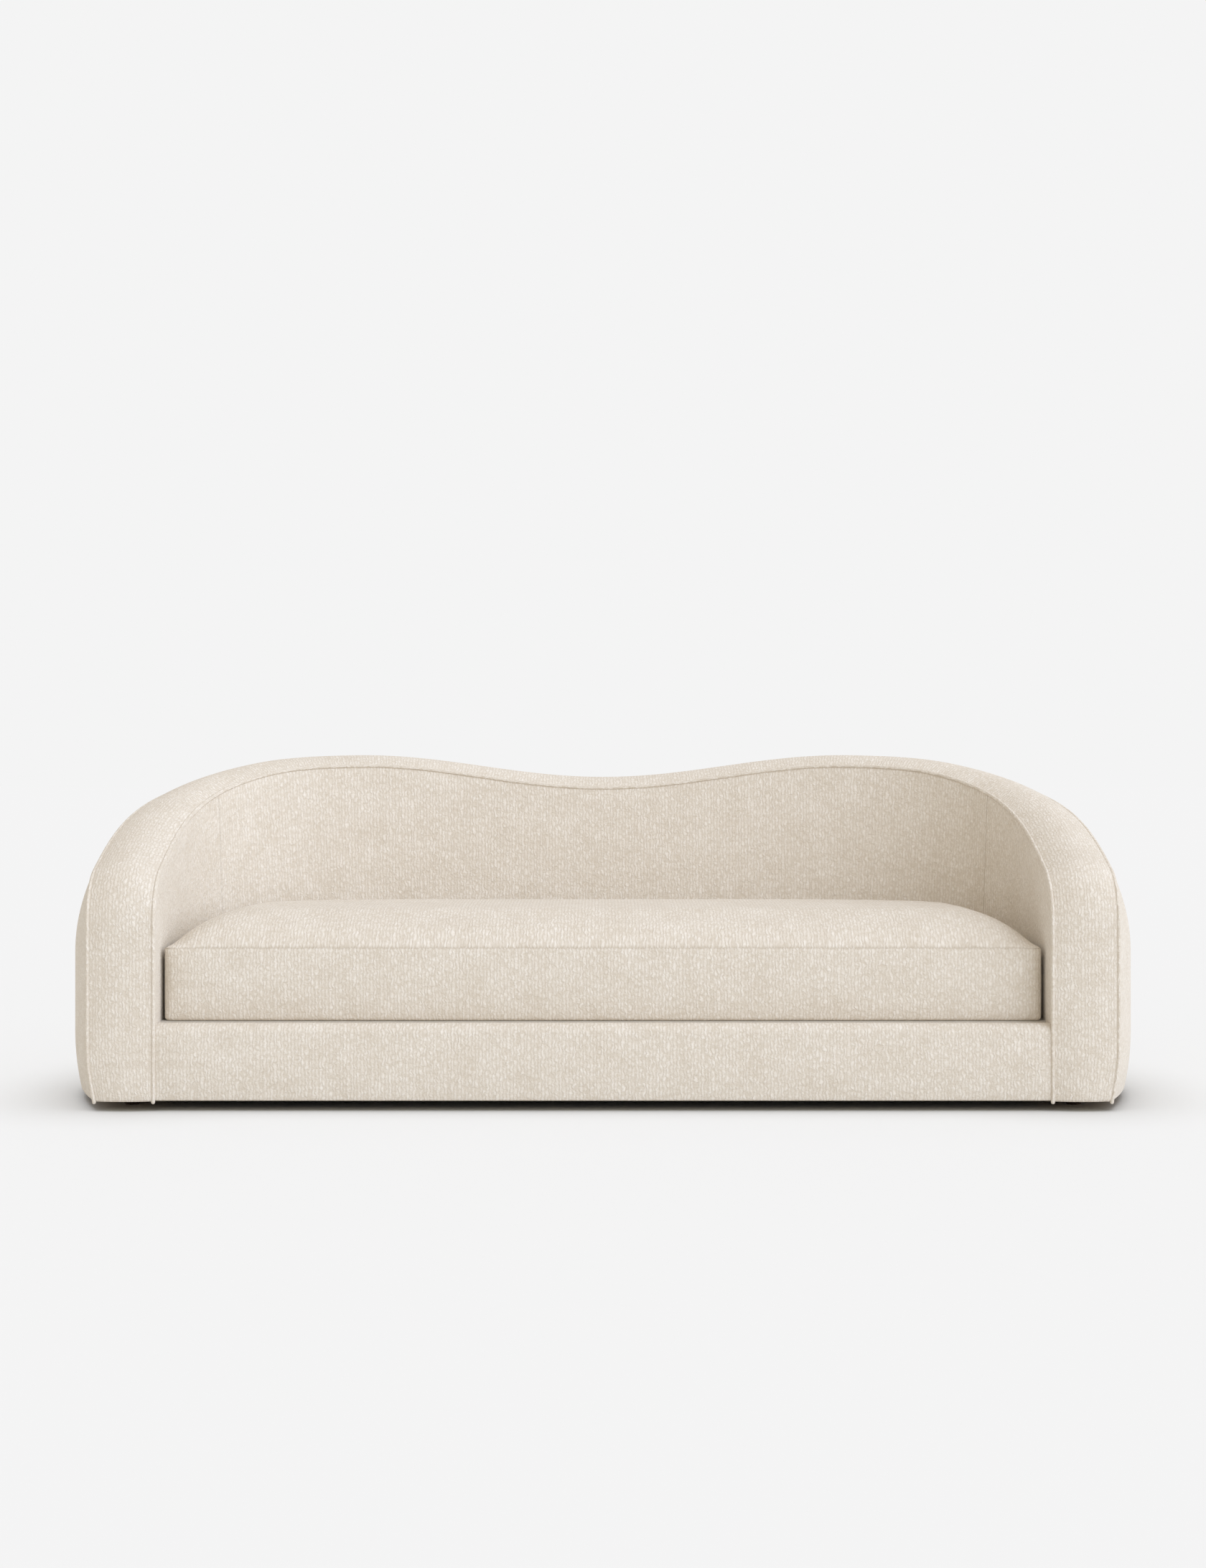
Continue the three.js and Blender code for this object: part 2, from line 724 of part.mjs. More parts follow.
// The rail's outline from its foot up the front, round the top edge and back along the ledge.
function railSection(inset, bottom, thickness, back) {
  const top = seatDeckHeight - inset;
  const radius = railRound - inset;
  const centre = { depth: railRound, height: seatDeckHeight - railRound };
  const shape = new THREE.Shape();
  shape.moveTo(inset, bottom);
  shape.lineTo(inset, centre.height);
  shape.absarc(centre.depth, centre.height, radius, Math.PI, Math.PI / 2, true);
  shape.lineTo(back, top);
  shape.lineTo(back, top - thickness.top);
  if (radius > thickness.front) {
    shape.lineTo(centre.depth, top - thickness.top);
    shape.absarc(centre.depth, centre.height, radius - thickness.front, Math.PI / 2, Math.PI, false);
  } else {
    shape.lineTo(inset + thickness.front, top - thickness.top);
  }
  shape.lineTo(inset + thickness.front, bottom);
  return shape;
}

function addFrontRail() {
  const halfWidth = seamHalfWidth - weltDiameter / 2 - gap;
  const cloth = { front: clothThickness, top: clothThickness };
  const cover = railSection(0, hemHeight, cloth, ledgeDepth);
  addPiece('front_rail_cover', alongX(cover, -halfWidth, halfWidth).translate(0, seamFrontY, 0), colours.boucle);

  const padInset = clothThickness + gap;
  const padThickness = {
    front: frameFront - gap - padInset,
    top: seatDeckHeight - padInset - deckPadBottom,
  };
  const pad = railSection(padInset, hemHeight, padThickness, ledgeDepth);
  addPiece('front_rail_pad', alongX(pad, -halfWidth, halfWidth).translate(0, seamFrontY, 0), colours.foam);
}

// ---- The frame ----

const railOuter = -10; // the curved seat rail's outer face, out from the inside face at deck height
const frontRailBack = ledgeDepth - gap;

function closedPlan(line, frontDepth) {
  const ends = [new THREE.Vector2(line.at(-1).x, frontDepth), new THREE.Vector2(line[0].x, frontDepth)];
  return [...line, ...ends];
}

function addBasePlate(footPlaces) {
  const boardFace = clothThickness + panelGap + panelThickness + layerGap;
  const outer = topEdge(frameFront + gap).map((p) => {
    const place = station(p.run);
    return planPoint(place, outsideOffset(place, hemHeight) - boardFace);
  });
  const holes = [new THREE.Path(deckLine(railOuter - railThickness, ledgeDepth))];
  for (const place of footPlaces) {
    holes.push(boltHole(place));
  }
  addPiece('base_plate', plate(outer, holes, hemHeight, baseTop), colours.board);
}

function boltHole(place) {
  return new THREE.Path().absarc(place.x, place.y, boltDiameter / 2 + gap, 0, Math.PI * 2);
}

function addSeatFrame(middleFoot) {
  const bottom = baseTop + gap;
  const half = seamHalfWidth + railOuter;
  addPiece('front_rail', block([-half, half], [frameFront + gap, frontRailBack], [bottom, railTop]), colours.wood);

  const outer = deckLine(railOuter, ledgeDepth);
  const inner = deckLine(railOuter - railThickness, ledgeDepth);
  const rail = shapedBox(outer.length - 1, 1, 1, (i, j, k) => {
    const plan = j === 0 ? inner[i] : outer[i];
    return inSofa(plan, k === 0 ? bottom : railTop);
  });
  addPiece('curved_seat_rail', rail, colours.wood);

  const halfRail = crossRailThickness / 2;
  for (const [name, x] of [['left', -crossRailSpread], ['middle', 0], ['right', crossRailSpread]]) {
    const reach = depthOnLine(inner, -Math.abs(x) - halfRail) - layerGap / 4;
    const outline = [
      new THREE.Vector2(x - halfRail, ledgeDepth + gap),
      new THREE.Vector2(x + halfRail, ledgeDepth + gap),
      new THREE.Vector2(x + halfRail, reach),
      new THREE.Vector2(x - halfRail, reach),
    ];
    const holes = x === 0 ? [boltHole(middleFoot)] : [];
    addPiece(`${name}_cross_rail`, plate(outline, holes, hemHeight, railTop), colours.wood);
  }
}

// How far out the curved seat rail comes, anywhere across the thickness of a rib at one of its corners.
function railReach(place, index) {
  const line = deckLine(railOuter, ledgeDepth);
  const corner = line[index + 1];
  const edges = [line[index], line[index + 2]].map((next) => {
    return corner.clone().lerp(next, boardThickness / 2 / corner.distanceTo(next));
  });
  return Math.max(...[corner, ...edges].map((point) => point.clone().sub(place.point).dot(place.normal)));
}

// A rib stands across the wall on the base plate and carries the boards, the pads and the top rail.
function ribGeometry(index) {
  const run = outlineRuns[index];
  const place = station(run);
  const slack = 8;
  const drop = (frameFront + boardThickness + slack) / Math.cos(tiltAt(run));
  const top = seamHeight(place.point) - drop - slack;
  const bottom = baseTop + gap;
  const board = clothThickness + panelGap + panelThickness + slack;
  const outside = (height) => outsideOffset(place, height) - board;
  const inside = (height) => padBack(place, height) + slack;
  const railFace = railReach(place, index) + gap * 2;
  const heights = [top, (top + waistHeight) / 2, waistHeight, tuckHeight, bottom];
  const shape = new THREE.Shape();
  shape.moveTo(railFace, bottom);
  shape.lineTo(railFace, insideBase - gap * 2);
  shape.lineTo(inside(seatDeckHeight), insideBase - gap * 2);
  shape.lineTo(inside(seatDeckHeight), seatDeckHeight);
  shape.lineTo(inside(top), top);
  for (const height of heights) {
    shape.lineTo(outside(height), height);
  }
  const geometry = new THREE.ExtrudeGeometry(shape, { depth: boardThickness, bevelEnabled: false });
  geometry.translate(0, 0, -boardThickness / 2);
  const turn = new THREE.Matrix4().makeBasis(
    new THREE.Vector3(place.normal.x, place.normal.y, 0),
    new THREE.Vector3(0, 0, 1),
    new THREE.Vector3(place.normal.y, -place.normal.x, 0),
  );
  return geometry.applyMatrix4(turn).translate(place.point.x, seamFrontY + place.point.y, 0);
}

function addRibs() {
  // Each stands at a corner of the curved seat rail, and the boards' joints fall on two pairs of them.
  const left = [1, armEndStep, cornerEndStep];
  const corners = [...left, halfSteps, ...left.map((index) => 2 * halfSteps - index).reverse()];
  corners.forEach((corner, order) => addPiece(`rib_${order + 1}`, ribGeometry(corner), colours.board));
}

function addTopRail() {
  const edge = bandFrames().filter((frame) => {
    return frame.run > armCornerRadius - 1 && frame.run < seamLength - armCornerRadius + 1;
  });
  const inner = clothThickness + layerGap + leanSlack + backPadThickness + layerGap;
  const outer = bandWidth - clothThickness - panelGap - panelThickness - layerGap;
  const rail = shapedBox(edge.length - 1, 1, 1, (i, j, k) => {
    const depth = frameFront + (j === 1 ? 0 : boardThickness);
    return onBand(edge[i], k === 0 ? outer : inner, -depth);
  });
  addPiece('top_rail', rail, colours.wood);
}

// A board behind each front face, which the band is stapled to.
function addFrontBoards() {
  const back = frameFront + gap + armBoardThickness;
  const near = seamHalfWidth + clothThickness + layerGap + leanSlack + armPadThickness + layerGap;
  const far = seamHalfWidth + bandWidth - hemTuck - clothThickness - layerGap;
  for (const [name, sign] of [['left', -1], ['right', 1]]) {
    const xs = [near, far].map((x) => sign * x);
    const xRange = [Math.min(...xs), Math.max(...xs)];
    const board = block(xRange, [frameFront + gap, back], [baseTop + gap, faceTop]);
    addPiece(`${name}_arm_front_board`, board, colours.board);
  }
}

// Elastic webbing, with straps both ways: a sheet in plan with a hole between every pair of straps.
function addWebbing() {
  const rows = 3;
  const railFace = deckLine(railOuter - railThickness, ledgeDepth);
  const webbingPitch = webbingStrap + webbingSpace;
  const halfColumns = Math.floor((seamHalfWidth - webbingStrap) / webbingPitch);
  const deep = [webbingBottom - 1, webbingBottom + webbingThickness + 1];
  const rowPitch = (depthOnLine(railFace, 0) - ledgeDepth + webbingStrap) / rows;
  const holes = [];
  for (let column = -halfColumns; column < halfColumns; column++) {
    const from = column * webbingPitch + webbingStrap / 2;
    const to = from + webbingSpace;
    const reach = depthOnLine(railFace, -Math.max(Math.abs(from), Math.abs(to)));
    for (let row = 0; row < rows; row++) {
      const near = ledgeDepth + row * rowPitch;
      const far = Math.min(near + rowPitch - webbingStrap, reach);
      if (far > near + webbingStrap / 2) {
        holes.push(block([from, to], [near, far], deep));
      }
    }
  }
  const outline = closedPlan(deckLine(railOuter - 2, ledgeDepth), frameFront + 2);
  const sheet = plate(outline, [], webbingBottom, webbingBottom + webbingThickness);
  addPiece('seat_webbing', cut(sheet, holes), colours.webbing);
}

function addSeatDeck(middleFoot) {
  const deckOutline = deckLine(-gap * 4, ledgeDepth + gap);
  const padTop = deckPadBottom + deckPadThickness;
  addPiece('deck_pad', plate(deckOutline, [], deckPadBottom, padTop), colours.foam);
  addPiece('deck_cover', plate(deckOutline, [], deckCoverBottom, seatDeckHeight), colours.lining);

  const dustOutline = deckLine(railOuter - railThickness / 2, frameFront + 5);
  const hole = new THREE.Path().absarc(middleFoot.x, middleFoot.y, footDiameter / 2 + 2, 0, Math.PI * 2);
  const dustTop = hemHeight - gap;
  addPiece('dust_cover', plate(dustOutline, [hole], dustTop - dustThickness, dustTop), colours.blackCloth);
}

// ---- Feet ----

// A turned bun foot with a flat underside and a bored hole for its hanger bolt.
function footGeometry() {
  const radius = footDiameter / 2;
  const bore = boltDiameter / 2 + gap;
  const profile = [new THREE.Vector2(0, 0), new THREE.Vector2(radius * 0.8, 0)];
  for (let step = 1; step <= 4; step++) {
    const turn = (Math.PI * step) / 5;
    const bulge = radius * (0.8 + 0.2 * Math.sin(turn));
    profile.push(new THREE.Vector2(bulge, (footHeight * step) / 5));
  }
  profile.push(new THREE.Vector2(radius * 0.85, footHeight));
  profile.push(new THREE.Vector2(bore, footHeight));
  profile.push(new THREE.Vector2(bore, footSole));
  profile.push(new THREE.Vector2(0, footSole));
  return new THREE.LatheGeometry(profile, 20).rotateX(Math.PI / 2);
}

function addFeet(places) {
  const boltTop = baseTop + boltProud;
  const boltBottom = footSole + gap;
  const length = boltTop - boltBottom;
  for (const { name, place } of places) {
    const foot = addPiece(`${name}_foot`, footGeometry(), colours.darkWood, { roughness: 0.5 });
    foot.position.set(place.x, seamFrontY + place.y, 0);
    const bolt = new THREE.CylinderGeometry(boltDiameter / 2, boltDiameter / 2, length, 12);
    bolt.rotateX(Math.PI / 2);
    const mesh = addPiece(`${name}_foot_bolt`, bolt, colours.steel, { roughness: 0.4, metalness: 0.9 });
    mesh.position.set(place.x, seamFrontY + place.y, boltBottom + length / 2);
  }
}

// ---- The sofa ----

const frontFootDepth = 105;
const footAcross = 67;
const rearFootRun = seamLength / 4;
const middleFootDepth = seamDepth * 0.42;
const footPlaces = [
  { name: 'left_front', place: planPoint(station(frontFootDepth), footAcross) },
  { name: 'right_front', place: planPoint(station(seamLength - frontFootDepth), footAcross) },
  { name: 'left_rear', place: planPoint(station(rearFootRun), footAcross) },
  { name: 'right_rear', place: planPoint(station(seamLength - rearFootRun), footAcross) },
  { name: 'middle', place: new THREE.Vector2(0, middleFootDepth) },
];
const middleFoot = footPlaces.at(-1).place;

addCovers();
addWelt('inner_welt', () => 0);
addWelt('outer_welt', (frame) => frame.span);
addWallLengths();
addFrontRail();
addBasePlate(footPlaces.slice(0, 4).map((foot) => foot.place));
addSeatFrame(middleFoot);
addRibs();
addTopRail();
addFrontBoards();
addWebbing();
addSeatDeck(middleFoot);
addCushion(sofa);
addZip(sofa);
addFeet(footPlaces);

export default sofa;
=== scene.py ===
import json
import math

import bpy
import numpy as np
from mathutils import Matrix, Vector
from mathutils.kdtree import KDTree


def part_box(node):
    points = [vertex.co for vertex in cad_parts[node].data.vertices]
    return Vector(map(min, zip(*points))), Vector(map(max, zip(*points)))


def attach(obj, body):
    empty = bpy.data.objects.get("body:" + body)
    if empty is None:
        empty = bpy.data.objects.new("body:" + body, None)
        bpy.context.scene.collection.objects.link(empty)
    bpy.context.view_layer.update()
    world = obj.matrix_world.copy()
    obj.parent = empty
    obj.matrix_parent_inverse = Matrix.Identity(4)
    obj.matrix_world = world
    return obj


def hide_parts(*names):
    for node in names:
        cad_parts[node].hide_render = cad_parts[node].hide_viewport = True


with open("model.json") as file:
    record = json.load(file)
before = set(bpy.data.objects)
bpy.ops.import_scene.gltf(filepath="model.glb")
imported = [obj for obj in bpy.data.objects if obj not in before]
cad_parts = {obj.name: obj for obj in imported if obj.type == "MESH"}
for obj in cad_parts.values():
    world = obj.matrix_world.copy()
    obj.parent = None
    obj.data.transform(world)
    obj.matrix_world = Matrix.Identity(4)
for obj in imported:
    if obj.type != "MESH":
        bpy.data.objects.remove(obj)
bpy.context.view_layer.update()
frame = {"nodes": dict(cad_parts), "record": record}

# A boucle sofa: one padded wall wraps round both sides and the back of a bench cushion. Metres, +Z up,
# front towards -Y. Its cloth, pads and cushion are made here, and the frame and feet come with the model.

# ---- Sizes of the whole sofa ----

OVERALL_WIDTH = 2.438
OVERALL_HEIGHT = 0.775
OVERALL_DEPTH = 0.980
BAND_WIDTH = 0.144
TOP_CROWN = 0.025
FRONT_CROWN = 0.008
FRONT_STEP = 0.091
BACK_SWELL = 0.108
SWELL_REACH = 0.400
SWELL_POWER = 1.6
WAIST_HEIGHT = 0.330
TUCK_HEIGHT = 0.150
HEM_TUCK = 0.015
ARM_FRONT_HEIGHT = 0.493
ARM_CORNER_RADIUS = 0.120
CREST_SETBACK = 0.055
CREST_BLEND = 0.020
CREST_HALF_SPACING = 0.610
CENTRE_DIP = 0.056
PLAN_FULLNESS = 4
BACK_LEAN = 0.085
WELT_RADIUS = 0.0045

HEM_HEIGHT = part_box("front_rail_cover")[0].z
DECK_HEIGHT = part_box("front_rail_cover")[1].z
INSIDE_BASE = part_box("inside_cover")[0].z
CREST_HEIGHT = OVERALL_HEIGHT - TOP_CROWN
FRONT_Y = FRONT_CROWN - OVERALL_DEPTH / 2
SEAM_DEPTH = OVERALL_DEPTH - FRONT_CROWN - BAND_WIDTH - BACK_SWELL
SEAM_HALF_WIDTH = OVERALL_WIDTH / 2 - BAND_WIDTH - FRONT_STEP
CLIMB = (CREST_HEIGHT - ARM_FRONT_HEIGHT) / (SEAM_DEPTH - CREST_SETBACK)
CLIMB_ANGLE = math.atan(CLIMB)
ARC_END_RUN = ARM_CORNER_RADIUS * (1 - math.sin(CLIMB_ANGLE))
FACE_TOP = ARM_FRONT_HEIGHT + CLIMB * ARC_END_RUN - ARM_CORNER_RADIUS * math.cos(CLIMB_ANGLE)

# ---- Sizes of the upholstery ----

CLOTH_THICKNESS = 0.0016
HEM_RADIUS = 0.004
HEM_RETURN = 0.004
HEM_TURNS = [math.pi / 2, math.pi / 3, math.pi / 6]
INSIDE_PUFF = 0.004
OUTSIDE_PUFF = 0.0025
PUFF_REACH = 0.014
CLOTH_STEP = 0.009
INSIDE_ROWS, OUTSIDE_ROWS = 56, 66
ROWS_END = 0.955
EDGE_ROWS = [0.97, 0.98, 0.988, 0.994, 1]
BAND_PARTS = np.concatenate([[0, 0.02, 0.045], np.linspace(0.08, 0.92, 15), [0.955, 0.98, 1]])

WALL_JOIN_STEPS = [-0.004, -0.0015, 0, 0.0015, 0.004]
INSIDE_JOIN_RUN = 0.50
OUTSIDE_JOIN_RUN = 0.62
BAND_JOIN_RUN = 0.385
BAND_JOIN_SLANT = 0.060
BAND_JOIN_REACH = 0.150
JOIN_GROOVE = 0.0012

WELT_STEP = 0.007
WELT_SIDES = 12
NUB_LENGTH = 0.007
NUB_STEPS = np.array([0, 0.15, 0.4, 0.75, 1.2, 2.0, 4.0]) * 0.003

CUSHION_SETBACK = 0.057
CUSHION_GAP = 0.012
CUSHION_CORNER = 0.015
CUSHION_CROWN = 0.075
STUFFED_CROWN = 0.079
WALL_REACH = 0.060
WALL_POWER = 1.5
FRONT_REACH = 0.040
FLAT_CUT = 0.010
CUSHION_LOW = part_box("cushion_bottom_panel")[0].z
CUSHION_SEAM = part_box("cushion_top_panel")[1].z - CUSHION_CROWN
CUSHION_STEP = 0.014
SEAM_STEPS = [0, 0.004, 0.009, 0.017]
OUTLINE_POINTS = 1200
CORNER_POINTS = 24
BOTTOM_TURNS = np.linspace(math.pi / 2, 0, 4)
BOTTOM_ROUND = 0.008
BOXING_BULGE = 0.005
START_DROP = 0.005
SWELL_CAP = 0.007
STUFFING_PRESSURE = 4.0
STUFFING_STEPS = 20
STUFFING_QUALITY = 4
SEAM_SINK = 0.0022
ZIPPED_HALF = 0.55
ZIPPED_DEPTH = 0.002
HELD_UNDERSIDE = 0.6
SEAM_TOLERANCE = 1e-5

RAIL_ROUND = 0.022
RAIL_CROWN = 0.0025
RAIL_STEP = 0.012
RAIL_END_STEPS = [0, 0.003, 0.008, 0.015, 0.024]
RAIL_FACE_ROWS, RAIL_ROUND_ROWS, RAIL_LEDGE_ROWS = 18, 9, 8
RAIL_CLEARANCE = 0.001
LEDGE_DEPTH = 0.062
LEDGE_DIP = 0.0035

PLAN_POINTS = 12001
WIDTH_POINTS = 1500
WALL_POINTS = 4000
SLOPE_STEP = 0.001
MERGE_DISTANCE = 0.00002


def lerp(a, b, part):
    return a + (b - a) * part


# ---- The seam plan: a superellipse from the left front round the back to the right front ----

def measure_seam_plan():
    turn = np.linspace(0, math.pi, PLAN_POINTS)
    across, back = -np.cos(turn), np.sin(turn)
    total = np.abs(across / SEAM_HALF_WIDTH) ** PLAN_FULLNESS + np.abs(back / SEAM_DEPTH) ** PLAN_FULLNESS
    reach = total ** (-1 / PLAN_FULLNESS)
    x, depth = across * reach, back * reach
    run = np.concatenate([[0], np.cumsum(np.hypot(np.diff(x), np.diff(depth)))])
    travel_x, travel_y = np.gradient(x, run), np.gradient(depth, run)
    size = np.hypot(travel_x, travel_y)
    return {"run": run, "x": x, "depth": depth, "out_x": -travel_y / size, "out_y": travel_x / size}


PLAN = measure_seam_plan()
SEAM_LENGTH = PLAN["run"][-1]


def station(run):
    """The seam's plan point, a length along it, and the way out from there."""
    return tuple(np.interp(run, PLAN["run"], PLAN[key]) for key in ("x", "depth", "out_x", "out_y"))


def seam_height(run):
    x, depth, _, _ = station(run)
    drop = ARM_CORNER_RADIUS - np.minimum(depth, ARM_CORNER_RADIUS)
    on_arc = FACE_TOP + np.sqrt(ARM_CORNER_RADIUS ** 2 - drop ** 2)
    arm_line = np.where(depth < ARC_END_RUN, on_arc, ARM_FRONT_HEIGHT + CLIMB * depth)
    towards_middle = 1 - np.minimum(np.abs(x) / CREST_HALF_SPACING, 1)
    dip = CENTRE_DIP * (1 - np.cos(math.pi * towards_middle)) / 2
    near = np.maximum(CREST_BLEND - np.abs(arm_line - CREST_HEIGHT), 0) / CREST_BLEND
    return np.minimum(arm_line, CREST_HEIGHT) - near * near * CREST_BLEND / 4 - dip


def seam_slope(run):
    """The angle at which the seam climbs."""
    return np.arctan((seam_height(run + SLOPE_STEP) - seam_height(run - SLOPE_STEP)) / (2 * SLOPE_STEP))


def outside_swell(run, side_swell):
    _, depth, out_x, out_y = station(run)
    full = side_swell * out_x ** 2 + BACK_SWELL * out_y ** 2
    short = 1 - np.clip((depth + BAND_WIDTH * out_y) / SWELL_REACH, 0, 1)
    return full * (1 - short ** SWELL_POWER)


def solve_side_swell():
    """How far the sides swell beyond the band, so that the sofa is as wide as it should be."""
    run = np.linspace(0, SEAM_LENGTH / 2, WIDTH_POINTS)
    x, _, out_x, _ = station(run)
    widest = np.abs(x + out_x * (BAND_WIDTH + outside_swell(run, FRONT_STEP))).max()
    return FRONT_STEP + OVERALL_WIDTH / 2 - widest


SIDE_SWELL = solve_side_swell()


def hem_tuck(height):
    return HEM_TUCK * np.clip((TUCK_HEIGHT - height) / (TUCK_HEIGHT - HEM_HEIGHT), 0, 1) ** 2


def inside_offset(run, height):
    seam = seam_height(run)
    lean = BACK_LEAN * station(run)[3] ** 2
    return -lean * np.clip((seam - height) / (seam - DECK_HEIGHT), 0, 1)


def outside_offset(run, height):
    seam = np.maximum(seam_height(run), WAIST_HEIGHT + SLOPE_STEP)
    above = np.clip((height - WAIST_HEIGHT) / (seam - WAIST_HEIGHT), 0, 1)
    return BAND_WIDTH + outside_swell(run, SIDE_SWELL) * (1 - above ** 2) - hem_tuck(height)


def on_wall(run, offset, height):
    x, depth, out_x, out_y = station(run)
    return np.stack([x + out_x * offset, FRONT_Y + depth + out_y * offset, height + 0 * x], axis=-1)


# ---- Frames along the band: up the left front face, round the top and down the right front face ----

def edge_frames(step):
    """Arrays of run along the seam, height of the seam there, and tilt of the band."""
    face = np.linspace(HEM_HEIGHT + HEM_RADIUS, FACE_TOP, round((FACE_TOP - HEM_HEIGHT) / step) + 1)[:-1]
    quarter = math.pi / 2 - CLIMB_ANGLE
    turn = np.linspace(0, quarter, round(quarter * ARM_CORNER_RADIUS / step) + 1)[:-1]
    corner_run = ARM_CORNER_RADIUS * (1 - np.cos(turn))
    corner_top = FACE_TOP + ARM_CORNER_RADIUS * np.sin(turn)
    middle_length = SEAM_LENGTH - 2 * ARC_END_RUN
    middle = np.linspace(ARC_END_RUN, SEAM_LENGTH - ARC_END_RUN, 2 * round(middle_length / step / 2) + 1)
    right = math.pi / 2
    left_run = np.concatenate([0 * face, corner_run])
    run = np.concatenate([left_run, middle, SEAM_LENGTH - left_run[::-1]])
    top = np.concatenate([face, corner_top, seam_height(middle), corner_top[::-1], face[::-1]])
    left_tilt = np.concatenate([right + 0 * face, right - turn])
    tilt = np.concatenate([left_tilt, seam_slope(middle), -left_tilt[::-1]])
    return run, top, tilt


def band_span(top):
    return BAND_WIDTH - hem_tuck(top)


def band_crown(top, tilt, across):
    full = lerp(TOP_CROWN, FRONT_CROWN, np.sin(tilt) ** 2)
    return full * (1 - (2 * across / band_span(top) - 1) ** 2)


def on_band(run, top, tilt, across, lift):
    _, _, out_x, out_y = station(run)
    back = -np.sin(tilt)
    rise = np.stack([out_y * back, -out_x * back, np.cos(tilt) + 0 * across], axis=-1)
    return on_wall(run, across, top + 0 * across) + rise * (lift + 0 * across)[..., None]


def length_along(points):
    """Length along the first axis of a grid of places, at the middle of the second."""
    line = points[:, points.shape[1] // 2]
    return np.concatenate([[0], np.cumsum(np.linalg.norm(np.diff(line, axis=0), axis=1))])


def length_across(points):
    """Length along the second axis of a grid of places, at the middle of the first."""
    return length_along(points.transpose(1, 0, 2))


# ---- Making pieces ----

def deselect_all():
    bpy.ops.object.select_all(action="DESELECT")


def active_piece(name):
    piece = bpy.context.object
    piece.name = piece.data.name = name
    return piece


def select_only(piece):
    deselect_all()
    piece.select_set(True)
    bpy.context.view_layer.objects.active = piece


def set_places(mesh, places):
    mesh.vertices.foreach_set("co", places.astype(np.float32).ravel())
    mesh.update()


def get_places(mesh):
    flat = np.empty(len(mesh.vertices) * 3, np.float32)
    mesh.vertices.foreach_get("co", flat)
    return flat.reshape(-1, 3).astype(float)


def shaped_grid(name, places, weave, turned=None, seam_shade=None, inside_out=False):
    """A cloth grid moved to its places, with a weave map in metres: ribs run along the map's second axis.
    Faces whose first index is marked in turned have the weave laid the other way. Seam shade gives, for
    each first index, how much the cloth is painted darker there, as shade in the groove of a join."""
    across, along = places.shape[0] - 1, places.shape[1] - 1
    deselect_all()
    bpy.ops.mesh.primitive_grid_add(x_subdivisions=across, y_subdivisions=along, size=1, calc_uvs=True)
    piece = active_piece(name)
    mesh = piece.data
    flat = get_places(mesh)
    i = np.rint((flat[:, 0] + 0.5) * across).astype(int)
    j = np.rint((flat[:, 1] + 0.5) * along).astype(int)
    set_places(mesh, places[i, j])
    # Painted shade: seams and joins are marked so the material darkens the cloth there, as shade in their
    # grooves.
    if seam_shade is not None:
        mark_seam_shade(piece, seam_shade[i])
    corner = np.empty(len(mesh.loops), np.int32)
    mesh.loops.foreach_get("vertex_index", corner)
    laid = weave[i, j][corner]
    if turned is not None:
        first = i[corner].reshape(-1, 4).min(axis=1)
        swap = np.repeat(turned[first], 4)
        laid[swap] = laid[swap][:, ::-1]
    layer = mesh.uv_layers.active
    layer.name = "weave"
    layer.data.foreach_set("uv", laid.astype(np.float32).ravel())
    if inside_out:
        mesh.flip_normals()
    bpy.ops.object.shade_smooth()
    return piece


def mark_seam_shade(piece, amount):
    """Marks the points on a seam or join, where the cloth is painted darker as shade in the groove."""
    seam_shade = piece.data.attributes.new("seam_shade", "FLOAT", "POINT")
    seam_shade.data.foreach_set("value", amount.astype(np.float32))


def weave_over(places, ribs_along_second=True):
    u, v = np.meshgrid(length_along(places), length_across(places), indexing="ij")
    return np.stack([u, v] if ribs_along_second else [v, u], axis=-1)


def give_thickness(piece, thickness):
    select_only(piece)
    wall = piece.modifiers.new("cloth", "SOLIDIFY")
    wall.thickness = thickness
    wall.offset = -1
    bpy.ops.object.modifier_apply(modifier=wall.name)


def soft_spread(length, end_steps, step):
    """Shares of a length, with extra lines near both ends."""
    inner = np.linspace(end_steps[-1], length - end_steps[-1], max(round(length / step), 2))
    return np.concatenate([end_steps[:-1], inner, length - np.array(end_steps[:-1])[::-1]]) / length


# ---- The wall's cloth ----

def hem_section():
    """The rounded hem at the foot of the cloth: how far in from the face, and how high."""
    section = [(HEM_RADIUS + HEM_RETURN, HEM_HEIGHT)]
    for turn in HEM_TURNS:
        section.append((HEM_RADIUS * (1 - math.cos(turn)), HEM_HEIGHT + HEM_RADIUS * (1 - math.sin(turn))))
    return section


def edge_distance(run, height, top, tilt):
    """How far a place on a side of the wall lies from the welt at its edge."""
    from_end = np.minimum(run, SEAM_LENGTH - run)
    below = (top - height) * np.cos(tilt)
    round_corner = ARM_CORNER_RADIUS - np.hypot(ARM_CORNER_RADIUS - from_end, height - FACE_TOP)
    in_corner = (from_end < ARM_CORNER_RADIUS) & (height > FACE_TOP)
    near_front = from_end < ARC_END_RUN
    in_arc = np.minimum(round_corner, below + from_end)
    elsewhere = np.where(near_front, from_end, np.minimum(from_end, below))
    return np.maximum(np.where(in_corner, in_arc, elsewhere), 0)


